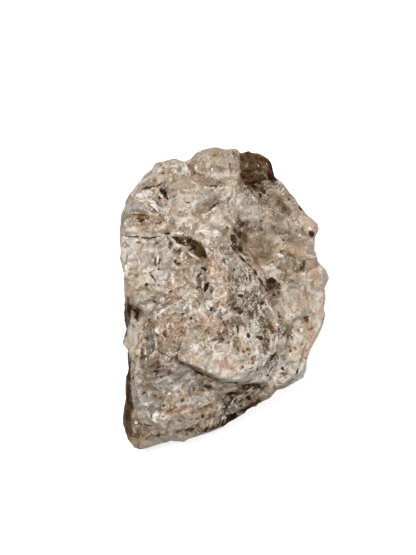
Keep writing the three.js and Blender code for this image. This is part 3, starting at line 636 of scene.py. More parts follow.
        ((10.1, -2.9), (1.2, 1.4), 0, 0.6), ((-0.7, 36.1), (1.6, 0.9), 0, 0.5),
        ((-21.2, -13.4), (1.0, 1.4), 0, 0.5), ((-22.2, 28.9), (1.0, 1.0), 0, 0.6),
        ((-6.2, -34.2), (1.8, 0.8), 10, 0.6), ((-6.6, -34.4), (2.0, 0.9), 10, 0.7),
        ((-17.9, -3.9), (1.4, 1.0), 0, 0.7), ((-15.4, -15.4), (1.2, 0.9), 0, 0.9),
        ((13.1, -23.1), (1.6, 0.8), 30, 0.8),
    ],
    "cream": [  # cream feldspar
        ((1.2, 28.6), (0.9, 3.8), 4, 0.8), ((2.6, 30.0), (0.8, 3.2), -4, 0.6),
        ((-0.2, 22.4), (3.4, 1.9), 10, 0.8), ((-4.0, 20.4), (2.2, 1.0), 12, 1.0),
        ((-9.0, 19.2), (3.6, 1.3), 4, 0.9), ((-22.3, 16.8), (2.6, 1.2), -10, 0.9),
        ((-21.4, 25.9), (1.4, 0.9), -30, 1.0), ((-18.6, 22.6), (3.2, 1.1), -36, 0.8),
        ((-17.4, 27.4), (1.8, 0.6), 6, 0.8), ((-24.2, 12.8), (1.2, 2.0), 0, 0.8),
        ((-23.9, 7.8), (1.2, 2.6), -12, 1.0), ((-18.4, 12.5), (3.6, 0.7), -6, 0.8),
        ((-21.4, 4.6), (2.8, 2.2), 20, 0.7), ((-18.8, -0.6), (2.2, 1.4), -20, 0.7),
        ((-19.8, 7.2), (2.0, 0.9), -14, 0.8), ((-3.2, 16.0), (4.2, 2.4), -36, 0.9),
        ((6.9, 3.9), (1.7, 1.1), 0, 1.0), ((7.9, -6.5), (1.6, 1.5), 0, 0.9),
        ((5.2, -8.8), (2.0, 1.8), 0, 0.7), ((6.2, -10.8), (2.4, 1.6), 0, 0.7),
        ((-6.2, -3.4), (2.0, 1.7), -30, 0.9), ((-4.4, -9.6), (1.6, 2.2), 0, 0.7),
        ((1.8, -19.0), (3.6, 1.7), -4, 1.2), ((-6.0, -14.4), (2.6, 2.2), 30, 0.9),
        ((-22.6, -9.7), (2.6, 2.9), 0, 1.0), ((-13.8, -2.0), (4.8, 0.8), 34, 0.9),
        ((-9.0, -34.4), (2.8, 0.9), 12, 0.8), ((13.6, 10.9), (1.2, 1.0), 0, 0.9),
        ((11.0, 9.0), (3.4, 1.1), 8, 0.7), ((13.2, 13.6), (2.2, 1.6), 0, 0.6),
        ((20.0, 5.6), (1.6, 1.7), 0, 0.9), ((17.0, -3.6), (2.6, 1.5), 20, 1.0),
        ((22.2, -1.4), (2.8, 2.2), 0, 0.8), ((15.6, 1.6), (1.8, 2.8), 20, 0.6),
        ((17.0, -14.6), (2.6, 3.6), -10, 0.5), ((15.0, -20.4), (3.0, 1.6), 20, 0.3),
        ((8.6, -17.6), (3.4, 1.4), 40, 0.6), ((11.8, -11.0), (1.2, 3.4), -14, 0.6),
        ((-5.4, 33.4), (2.4, 2.0), 0, 0.4), ((-7.6, 27.0), (2.4, 0.8), -10, 0.5),
        ((-14.6, 32.4), (2.6, 1.2), 20, 0.6), ((-14.2, -29.6), (3.2, 0.9), 0, 0.5),
        # Painted light: the two ovals on the next line lift the low end of the flank and the lower right
        # corner, slopes that face away from the lamp.
        ((9.0, -20.0), (4.4, 1.2), 4, 0.8), ((18.2, -17.4), (3.4, 2.8), 30, 0.9),
        ((-8.8, -25.4), (3.0, 1.1), 8, 0.8), ((-5.0, -24.4), (2.8, 1.2), 10, 0.8),
        ((7.0, -11.4), (1.4, 1.8), 0, 0.8), ((-1.2, -11.0), (2.6, 1.0), 10, 0.8),
        ((2.6, -7.2), (2.0, 0.9), 0, 0.7), ((7.6, -5.6), (1.2, 1.0), 0, 0.7),
        ((-23.8, -11.4), (1.4, 2.8), 0, 1.0), ((1.0, -21.3), (2.6, 0.6), 4, 0.9),
        ((-6.0, -17.2), (2.0, 1.4), -35, 0.9), ((-8.0, -34.8), (3.0, 1.0), 10, 0.9),
        ((20.3, -3.9), (1.4, 1.0), 0, 0.9), ((-6.2, -11.6), (1.6, 1.4), 0, 0.8),
        ((-22.8, -11.2), (2.2, 2.6), 0, 1.5),
    ],
    "rose": [  # pink feldspar
        ((-1.8, 5.4), (9.0, 2.6), -82, 0.8), ((-0.4, -12.6), (4.4, 3.4), -20, 0.9),
        ((0.8, -16.4), (3.4, 1.5), 0, 0.9), ((-12.0, 5.0), (2.6, 3.6), 0, 0.4),
        ((-13.0, -7.0), (5.4, 4.0), 20, 0.8), ((-4.6, -5.6), (4.4, 2.8), -40, 0.7),
        ((22.6, 5.6), (1.9, 3.2), 0, 1.0), ((22.4, 18.0), (1.4, 2.2), 0, 1.0),
        ((-10.4, -27.2), (3.8, 2.0), 10, 1.0), ((-4.6, -24.8), (1.8, 2.2), 0, 0.8),
        ((-16.0, 18.0), (6.0, 0.9), 4, 0.7), ((-13.2, 18.0), (1.6, 1.4), 0, 0.7),
        ((-11.6, 30.6), (4.0, 2.2), 0, 0.4), ((-11.4, 21.4), (4.0, 2.2), 10, 0.4),
        ((21.4, -8.6), (1.6, 2.4), -20, 0.9), ((20.6, -13.0), (0.9, 3.0), -10, 0.8),
        ((17.6, 19.6), (3.0, 3.0), 0, 0.4), ((11.4, 21.8), (3.0, 1.8), 0, 0.4),
        ((24.6, 4.4), (1.2, 2.6), 0, 0.6), ((-21.0, 28.2), (1.6, 0.8), 30, 0.7),
        ((-12.6, 0.6), (2.4, 1.2), 0, 0.8), ((-3.4, -30.0), (3.0, 1.6), 30, 0.4),
        ((17.0, 12.6), (2.0, 1.8), 0, 0.5), ((-7.6, 33.4), (1.2, 1.4), 0, 0.4),
        ((13.0, -16.4), (3.8, 3.0), -60, 0.9), ((-24.8, 18.2), (1.0, 2.4), 0, 0.5),
        ((-16.4, -22.4), (6.0, 4.6), 0, 0.35), ((-8.6, -21.4), (3.0, 2.4), 0, 0.35),
    ],
    "grey": [  # quartz
        ((-19.4, 10.2), (1.9, 1.7), 0, 0.9), ((-14.2, 8.0), (1.4, 4.0), 0, 1.0),
        ((-18.0, 14.0), (3.2, 1.4), 0, 0.8), ((-16.6, 5.4), (1.8, 2.6), 30, 0.8),
        ((-3.6, 24.8), (3.0, 2.2), 30, 1.0), ((-22.2, 22.7), (2.4, 1.3), -8, 1.0),
        ((-25.2, 19.4), (1.3, 1.8), 0, 0.9), ((-15.8, -0.9), (2.4, 2.1), 0, 0.9),
        ((-9.6, -1.5), (2.0, 1.9), 0, 0.7), ((-18.4, -10.8), (1.9, 4.2), 0, 1.0),
        ((-19.6, -26.0), (3.2, 3.6), 0, 1.0), ((-15.6, -20.0), (4.6, 2.8), 10, 0.5),
        ((-2.6, 17.8), (2.6, 1.3), -10, 0.8), ((4.8, 24.7), (2.6, 2.2), 0, 0.8),
        ((5.0, 22.4), (2.4, 1.8), 0, 0.6), ((13.6, -16.6), (3.2, 3.4), -20, 0.3),
        ((18.2, 3.0), (2.4, 1.4), 20, 0.8), ((12.0, 7.2), (3.0, 1.4), 0, 0.6),
        ((-11.0, 31.2), (1.2, 0.7), -20, 0.8), ((3.0, -27.2), (3.4, 1.6), 30, 0.7),
        ((-8.2, -20.4), (2.8, 2.0), 0, 0.7), ((-13.6, 20.0), (1.4, 1.2), 0, 0.6),
        ((1.2, -3.6), (1.0, 1.3), 0, 0.6), ((14.0, -12.0), (1.6, 3.0), 0, 0.6),
        ((-14.0, -31.0), (3.6, 0.8), 0, 0.5), ((2.2, 33.6), (1.4, 1.8), 0, 0.4),
        ((6.2, 33.6), (0.7, 0.6), 0, 0.9), ((9.0, 33.0), (1.9, 1.2), 0, 1.0),
        ((7.6, 32.4), (0.9, 0.6), 0, 0.8),
    ],
    "olive": [  # mica ground into the seams of the flank
        ((6.2, 1.4), (12.4, 3.0), -62, 0.8), ((7.2, -3.2), (3.0, 3.2), 0, 0.9),
        ((10.4, -9.0), (0.9, 3.4), -6, 0.8), ((3.6, 13.2), (3.4, 0.9), -54, 0.7),
        ((4.0, 19.2), (1.1, 2.8), 10, 0.9), ((1.8, -0.2), (0.8, 2.0), 0, 0.9),
        ((2.8, -8.0), (0.9, 4.6), 0, 0.6), ((-19.4, 2.0), (2.8, 0.8), -8, 0.6),
        ((9.0, 28.6), (3.2, 1.4), -10, 0.7), ((12.4, 28.4), (1.8, 0.9), -40, 0.7),
        ((-20.4, -13.2), (0.9, 1.9), 0, 0.9), ((17.8, 8.0), (1.0, 1.7), 0, 0.8),
        ((14.4, -6.9), (1.6, 2.4), 16, 1.0), ((10.0, -5.4), (1.2, 3.4), 4, 1.0),
        ((9.6, -1.0), (1.6, 1.8), 0, 0.7), ((3.2, 35.4), (2.2, 0.9), -30, 0.6),
        ((-22.0, -34.2), (2.2, 0.8), 0, 0.5), ((9.6, -15.4), (0.7, 2.4), -40, 0.5),
        ((-3.0, 36.4), (2.2, 0.5), 0, 0.5),
    ],
    "ochre": [  # yellow iron film
        ((-9.9, 24.9), (0.8, 0.35), -20, 0.9), ((-8.0, 26.5), (1.2, 0.4), -16, 0.6),
        ((-4.7, 30.6), (0.7, 0.8), 0, 0.6), ((7.6, 8.6), (1.6, 0.9), -50, 0.7),
        ((12.9, 12.3), (1.2, 0.5), -10, 0.9), ((19.2, 12.6), (2.6, 2.2), 30, 0.3),
        ((4.7, 15.5), (0.9, 1.3), 0, 0.8), ((-22.2, -7.6), (2.0, 0.6), 0, 0.5),
        ((-21.6, -14.2), (1.4, 0.8), 0, 0.6), ((-7.4, -14.8), (1.2, 2.0), 40, 0.4),
        ((-3.4, -27.4), (2.4, 3.0), -30, 0.35), ((-1.0, -23.4), (2.6, 1.0), 40, 0.35),
        ((3.0, -22.6), (1.8, 0.35), 10, 0.7), ((-15.0, -32.0), (2.6, 1.1), 0, 0.3),
        ((-18.0, 8.9), (0.4, 0.8), 0, 0.8), ((-23.6, 2.2), (1.4, 1.8), 0, 0.5),
        ((-17.0, 2.2), (1.4, 0.9), -20, 0.5), ((8.6, 27.6), (1.2, 0.7), 0, 0.6),
        ((21.0, 0.2), (2.2, 1.0), 0, 0.4), ((-12.4, -16.6), (1.6, 0.7), 0, 0.3),
        ((-1.8, 37.0), (1.0, 0.8), -40, 0.7), ((16.8, -9.4), (1.0, 1.4), 0, 0.3),
        ((-16.0, -14.8), (2.4, 0.5), 0, 0.4), ((-22.0, -35.8), (3.0, 1.4), -10, 0.4),
        ((6.4, -16.0), (0.8, 0.6), 0, 0.5), ((-23.6, -11.0), (1.4, 2.2), 0, 0.4),
        ((-8.2, 14.9), (1.0, 0.8), 0, 0.6), ((0.6, -21.6), (2.2, 0.5), 6, 0.5),
        ((-22.8, -12.6), (1.6, 1.4), 0, 0.45),
    ],
    "smoke_and_shade": [  # smoky quartz, and painted soft shade in the hollows, under the lip and down the left wall
        ((9.8, 12.4), (3.6, 3.0), 6, 0.65), ((8.6, 16.0), (2.6, 3.0), 0, 0.5),
        ((5.6, 19.0), (1.3, 1.5), 0, 0.5), ((8.1, 18.9), (1.1, 1.3), 0, 0.5),
        ((4.7, 15.2), (1.5, 1.8), 0, 1.0), ((-2.2, 29.3), (2.6, 1.6), 0, 0.45),
        ((-4.4, 23.2), (3.8, 1.5), 40, 0.6), ((-1.0, 25.6), (2.0, 0.8), 20, 0.5),
        ((-8.6, 11.1), (1.5, 1.4), 0, 0.9), ((-11.9, 11.8), (1.8, 1.0), 0, 0.8),
        ((-10.6, 14.6), (3.2, 1.5), -14, 0.8), ((-6.4, 12.6), (2.8, 1.8), -50, 1.0),
        ((-21.2, -2.3), (3.2, 0.7), -34, 0.9), ((-22.0, -3.6), (1.4, 1.6), 0, 0.8),
        ((-11.8, 6.6), (0.9, 1.0), 0, 0.8), ((12.9, 16.8), (1.8, 1.2), 0, 0.7),
        ((14.6, 22.6), (2.6, 1.8), -40, 0.9), ((17.6, 23.6), (3.0, 0.6), -50, 0.7),
        ((13.2, 24.7), (1.7, 0.9), -10, 0.7), ((7.2, 33.0), (4.8, 4.4), 0, 1.0),
        ((8.6, 28.0), (3.4, 1.6), -10, 0.5), ((7.7, 25.9), (1.3, 1.2), 0, 0.6),
        ((12.8, 1.8), (2.4, 1.8), -30, 0.7), ((15.2, 7.6), (1.8, 1.2), 40, 0.4),
        ((19.4, 8.0), (1.6, 0.8), 55, 0.9), ((16.9, 4.4), (1.1, 0.8), 0, 0.8),
        ((19.9, -3.8), (1.2, 0.8), 0, 0.6), ((16.3, -9.8), (0.6, 2.4), 6, 0.4),
        ((-7.6, -18.0), (4.0, 1.0), -34, 0.5), ((-4.4, -21.8), (1.8, 1.2), 0, 0.7),
        ((7.4, -22.2), (5.6, 1.8), 16, 0.7), ((1.6, -24.4), (3.2, 1.2), 18, 0.6),
        ((3.0, -27.8), (8.6, 2.2), 36, 0.7), ((10.4, -23.8), (5.4, 1.2), 32, 0.6),
        ((4.4, -25.4), (4.4, 1.6), 24, 0.5), ((-3.6, -32.4), (3.4, 1.0), 26, 0.9),
        ((-23.7, -27.0), (1.2, 7.4), 0, 1.0), ((-23.8, -18.4), (0.9, 2.6), 0, 1.0),
        ((-17.0, -34.4), (3.6, 0.6), 6, 0.8), ((-10.0, -32.7), (3.0, 0.6), 14, 0.9),
        ((-22.0, 7.6), (0.9, 2.2), -24, 0.4), ((-16.6, -13.9), (2.2, 0.8), 0, 0.6),
        ((-18.2, -21.6), (1.6, 1.4), 0, 0.5), ((-8.4, 3.4), (1.2, 2.0), 0, 0.4),
        ((-5.4, 8.8), (1.0, 2.0), 20, 0.5), ((-19.2, -5.6), (2.2, 0.9), 10, 0.6),
        ((-17.6, -6.6), (0.7, 1.6), -20, 0.6), ((-20.6, 13.2), (0.8, 0.9), 0, 0.4),
        ((-4.0, 23.8), (3.8, 2.0), 40, 0.35),
    ],
    "brown_and_shade": [  # dark knots, and painted shade in deep sockets, down the left wall and under the lip
        ((5.0, 35.0), (1.5, 1.7), 0, 1.0), ((7.2, 36.0), (2.6, 1.4), -6, 1.0),
        ((10.4, 34.9), (2.0, 1.4), -35, 1.0), ((7.2, 34.0), (1.0, 1.8), 0, 1.0),
        ((8.9, 33.2), (1.0, 2.0), 10, 0.9), ((5.8, 31.0), (2.4, 2.0), 0, 1.0),
        ((6.2, 29.6), (2.4, 1.6), 0, 1.0), ((11.9, 31.0), (1.6, 2.2), 14, 1.0),
        ((9.6, 30.6), (2.0, 1.0), 0, 0.7), ((12.2, 33.4), (1.1, 2.4), 14, 1.0),
        ((8.0, 30.0), (1.6, 1.2), 0, 0.9), ((6.8, 28.3), (2.2, 0.9), -24, 0.7),
        ((9.0, 27.4), (1.8, 0.7), -30, 0.6), ((-6.6, 12.8), (2.8, 1.5), -50, 1.0),
        ((-10.8, 14.6), (2.6, 1.0), -14, 0.7), ((3.2, 12.8), (1.8, 0.8), -50, 0.7),
        ((12.0, 3.4), (2.0, 1.2), -30, 0.6), ((-24.2, -18.2), (1.6, 4.6), 0, 1.0),
        ((-24.4, -25.6), (1.6, 9.0), 0, 0.9), ((-23.8, -31.0), (1.6, 2.4), 0, 0.5),
        ((-24.2, -33.2), (1.6, 2.2), 0, 0.7), ((-24.5, -3.0), (1.1, 4.6), 0, 1.0),
        ((-23.8, -1.8), (0.9, 0.9), -20, 0.8), ((-22.0, -3.8), (0.7, 1.6), 0, 0.8),
        ((-21.2, -2.4), (3.2, 0.6), -34, 0.5), ((7.4, -21.7), (3.6, 1.0), 6, 0.5),
        ((1.0, -29.9), (1.8, 0.8), 34, 0.9), ((4.6, -28.0), (1.8, 0.5), 34, 0.8),
        ((7.4, -26.0), (2.8, 0.8), 32, 0.9), ((1.4, -25.6), (1.0, 0.8), 0, 0.6),
        ((3.0, -23.6), (1.8, 0.6), 10, 0.8), ((6.8, -22.4), (2.6, 0.7), 20, 0.6),
        ((0.8, -30.6), (3.2, 1.0), 24, 0.9), ((1.8, -29.6), (1.6, 0.7), 30, 0.8),
        ((-3.4, -32.6), (3.8, 0.8), 24, 0.8), ((-4.6, -21.6), (1.4, 0.7), 0, 0.7),
        ((-7.8, -17.4), (3.8, 0.5), -34, 0.6), ((-11.0, -33.2), (2.2, 0.6), 16, 0.35),
        ((-8.6, -32.6), (1.2, 0.5), 20, 0.3), ((-17.0, -34.5), (3.4, 0.4), 6, 0.35),
        ((-20.4, -13.4), (0.8, 1.6), 0, 0.6), ((10.4, -11.4), (0.6, 2.4), -6, 0.4),
        ((19.6, 8.4), (1.2, 0.6), 60, 0.4), ((7.0, -3.0), (1.8, 2.0), 0, 0.4),
        ((3.4, -2.4), (1.2, 0.9), 0, 0.5), ((14.8, 22.4), (1.3, 0.9), -30, 0.35),
        ((13.0, 24.4), (1.6, 0.6), -20, 0.35), ((16.4, -9.2), (0.5, 1.6), 6, 0.3),
        ((-20.2, 20.2), (2.4, 0.9), 6, 0.5), ((-17.2, -17.6), (1.0, 0.6), 10, 0.6),
        ((1.6, -24.8), (0.9, 0.6), 0, 0.9), ((3.4, -25.4), (1.0, 0.5), 30, 0.9),
        ((5.6, -22.0), (1.6, 0.8), 20, 0.8), ((8.6, -21.4), (1.6, 0.6), 0, 0.8),
        ((0.6, -26.8), (0.7, 1.0), 0, 0.8), ((6.0, -24.9), (1.0, 0.5), 20, 0.8),
        ((3.9, -27.0), (1.2, 0.6), 30, 0.9), ((5.8, -27.8), (2.0, 0.7), 32, 1.0),
        ((1.2, -31.2), (2.0, 0.7), 25, 1.0), ((-20.8, 19.9), (1.3, 0.7), 10, 0.7),
        ((5.6, 27.6), (0.6, 0.6), 0, 0.8), ((7.4, 27.2), (0.8, 0.5), 0, 0.8),
        ((9.2, 28.0), (0.8, 0.5), 0, 0.8), ((8.2, 26.1), (0.5, 0.7), 0, 0.7),
        ((10.0, 27.0), (0.5, 0.5), 0, 0.7), ((6.4, 26.4), (0.4, 0.5), 0, 0.7),
        ((4.6, 33.4), (1.2, 2.0), 0, 0.65), ((7.2, 33.0), (1.4, 1.8), 0, 0.65),
        ((10.4, 33.0), (1.2, 1.6), 0, 0.4), ((-23.9, -22.4), (1.3, 3.4), 0, 1.0),
        ((-24.0, -14.6), (0.7, 2.0), 0, 0.9), ((-18.9, -34.8), (1.2, 0.4), 10, 0.5),
    ],
    "rust": [  # iron spots
        ((-20.3, 19.7), (1.3, 1.0), 8, 0.8), ((-20.6, 20.8), (1.6, 0.3), -6, 0.8),
        ((-22.9, 20.3), (0.7, 0.4), 0, 0.5), ((-19.0, 20.4), (0.6, 0.5), 40, 0.7),
        ((-21.2, 19.2), (0.6, 0.4), 0, 0.7), ((-21.2, 14.1), (0.9, 0.5), 0, 0.8),
        ((-1.6, -8.0), (0.6, 0.8), 0, 1.0), ((-0.6, -9.7), (0.9, 0.5), 10, 1.0),
        ((11.5, -7.2), (0.7, 1.7), 27, 1.0), ((10.5, -10.6), (0.35, 0.6), 0, 0.8),
        ((5.8, -12.2), (0.8, 0.6), 0, 1.0), ((6.0, -13.3), (0.8, 0.4), 0, 1.0),
        ((4.6, -12.8), (0.7, 0.5), 0, 1.0), ((6.7, -14.4), (0.45, 0.6), 0, 1.0),
        ((6.9, -15.5), (0.4, 0.4), 0, 1.0), ((7.4, -13.8), (0.5, 0.5), 0, 0.9),
        ((3.0, -12.9), (0.4, 0.3), 0, 0.8), ((-11.6, -14.0), (0.5, 0.9), 0, 1.0),
        ((-10.6, -15.8), (0.9, 0.6), -40, 1.0), ((20.3, -4.9), (0.9, 1.0), 0, 1.0),
        ((18.4, -7.9), (0.4, 0.5), 30, 1.0), ((-10.3, -25.0), (0.7, 0.6), 40, 1.0),
        ((-12.4, -26.6), (0.5, 0.4), 0, 0.9), ((-13.3, -27.3), (0.7, 0.4), 30, 0.9),
        ((-15.9, -24.2), (0.4, 0.7), -20, 0.8), ((3.2, -22.6), (0.6, 0.4), 0, 0.9),
        ((1.1, 5.2), (0.4, 0.7), 30, 1.0), ((16.3, -12.7), (0.4, 0.6), 0, 0.9),
        ((1.3, 3.6), (0.7, 0.5), 0, 0.7), ((10.3, -4.6), (0.5, 0.9), 0, 0.8),
        ((-6.2, -27.3), (0.7, 0.5), 0, 0.8), ((-17.4, 29.6), (0.7, 0.4), 20, 0.7),
        ((-9.6, 2.9), (1.4, 0.5), 0, 0.4), ((21.8, -7.4), (1.2, 0.7), 40, 0.5),
        ((0.8, -8.3), (0.3, 0.5), 0, 0.7), ((-4.9, -13.0), (0.4, 0.7), 0, 0.5),
        ((14.3, -13.9), (0.5, 0.6), 0, 0.7),
    ],
    "garnet": [  # dark red-brown grains
        ((4.9, 30.5), (0.5, 0.4), 0, 1.0), ((6.8, 30.4), (0.5, 0.4), 0, 1.0),
        ((5.6, 31.9), (0.6, 0.3), -20, 1.0), ((11.6, 30.6), (0.8, 1.0), 0, 1.0),
        ((5.6, 29.0), (0.9, 0.4), -10, 0.8), ((12.1, 32.8), (0.5, 1.4), 16, 0.9),
        ((4.6, 35.2), (0.4, 0.5), 0, 0.8), ((10.8, 34.8), (1.0, 0.3), -36, 0.9),
        ((-15.2, 26.7), (1.2, 0.8), -35, 1.0), ((-14.5, 25.6), (1.4, 0.5), -62, 1.0),
        ((-16.1, 25.1), (0.9, 0.3), -35, 1.0), ((-20.2, 19.6), (0.9, 0.4), 20, 0.9),
        ((-21.4, 20.0), (0.5, 0.4), 0, 0.9), ((2.2, 14.9), (0.8, 1.5), 20, 1.0),
        ((2.6, 17.0), (0.4, 0.8), 10, 1.0), ((3.7, 16.2), (0.7, 1.1), 10, 1.0),
        ((2.9, 13.5), (0.6, 0.5), 0, 0.8), ((11.7, 4.7), (1.8, 0.9), -8, 1.0),
        ((11.0, 3.4), (1.2, 0.8), -30, 0.9), ((13.6, 1.8), (0.5, 0.7), 20, 0.7),
        ((12.3, 1.2), (0.5, 0.5), 0, 0.6), ((21.7, 16.3), (0.7, 1.0), 30, 1.0),
        ((16.3, 24.8), (0.55, 0.4), -20, 0.6), ((-4.55, 3.0), (1.7, 0.65), 74, 1.0),
        ((-24.6, -2.6), (0.8, 1.1), 0, 1.0), ((-24.6, -6.2), (0.4, 1.4), 0, 0.9),
        ((-24.9, 0.2), (0.4, 2.0), 0, 0.8), ((2.7, -2.2), (0.8, 0.7), 20, 1.0),
        ((3.7, -3.2), (0.6, 0.5), 20, 1.0), ((8.9, -9.2), (1.0, 0.65), -20, 1.0),
        ((6.0, -8.6), (0.5, 0.75), 10, 1.0), ((9.3, -0.8), (0.6, 0.6), 0, 1.0),
        ((3.9, 0.9), (0.6, 0.6), 0, 1.0), ((5.9, -3.6), (0.6, 0.4), 0, 0.4),
        ((4.5, -5.7), (0.4, 0.35), 0, 0.9), ((-18.6, -5.0), (0.6, 0.4), 30, 1.0),
        ((-19.4, 3.9), (0.55, 0.4), -20, 1.0), ((-3.3, -2.0), (0.4, 0.5), 0, 1.0),
        ((-1.1, 7.4), (0.35, 0.3), 0, 0.9), ((-0.2, 12.0), (0.6, 0.3), -50, 0.9),
        ((-14.0, 16.3), (0.6, 0.35), 0, 1.0), ((-23.9, -22.6), (0.9, 1.6), 0, 0.9),
        ((-24.4, -18.2), (1.1, 3.0), 0, 1.0), ((-23.6, -15.6), (0.7, 1.8), 10, 1.0),
        ((-5.4, -29.4), (0.5, 0.6), 0, 1.0), ((-6.5, 3.0), (0.55, 0.4), 20, 0.9),
        ((-13.4, 2.0), (0.6, 0.25), 0, 1.0), ((-8.4, -4.5), (0.6, 0.35), 20, 0.9),
        ((-10.3, -3.6), (0.4, 0.3), 0, 0.8), ((-11.5, 9.0), (0.5, 0.45), 0, 0.9),
        ((-17.4, -17.7), (0.5, 0.3), 10, 0.6), ((-22.8, -19.6), (0.35, 0.6), 0, 1.0),
        ((-20.2, -23.4), (0.9, 0.4), 36, 0.9), ((-17.4, -23.8), (0.8, 0.4), -40, 0.8),
        ((-15.0, -26.4), (0.6, 0.35), 0, 0.7), ((10.8, -18.8), (0.4, 0.4), 0, 0.8),
        ((8.0, -17.2), (0.35, 0.5), 0, 0.7), ((13.8, 23.2), (1.4, 0.5), -30, 0.4),
        ((20.0, 9.2), (0.6, 0.9), 20, 0.7), ((-3.2, -11.7), (0.35, 0.3), 0, 0.8),
        ((-9.3, -15.9), (0.3, 0.3), 0, 0.7), ((1.1, 23.4), (0.3, 0.7), 0, 0.8),
        ((14.5, -17.2), (0.6, 0.35), -40, 0.7), ((11.4, 31.2), (0.7, 0.8), 0, 1.2),
        ((9.4, 35.0), (0.7, 0.4), -20, 0.9), ((5.9, 32.0), (0.7, 0.5), 0, 1.0),
    ],
}

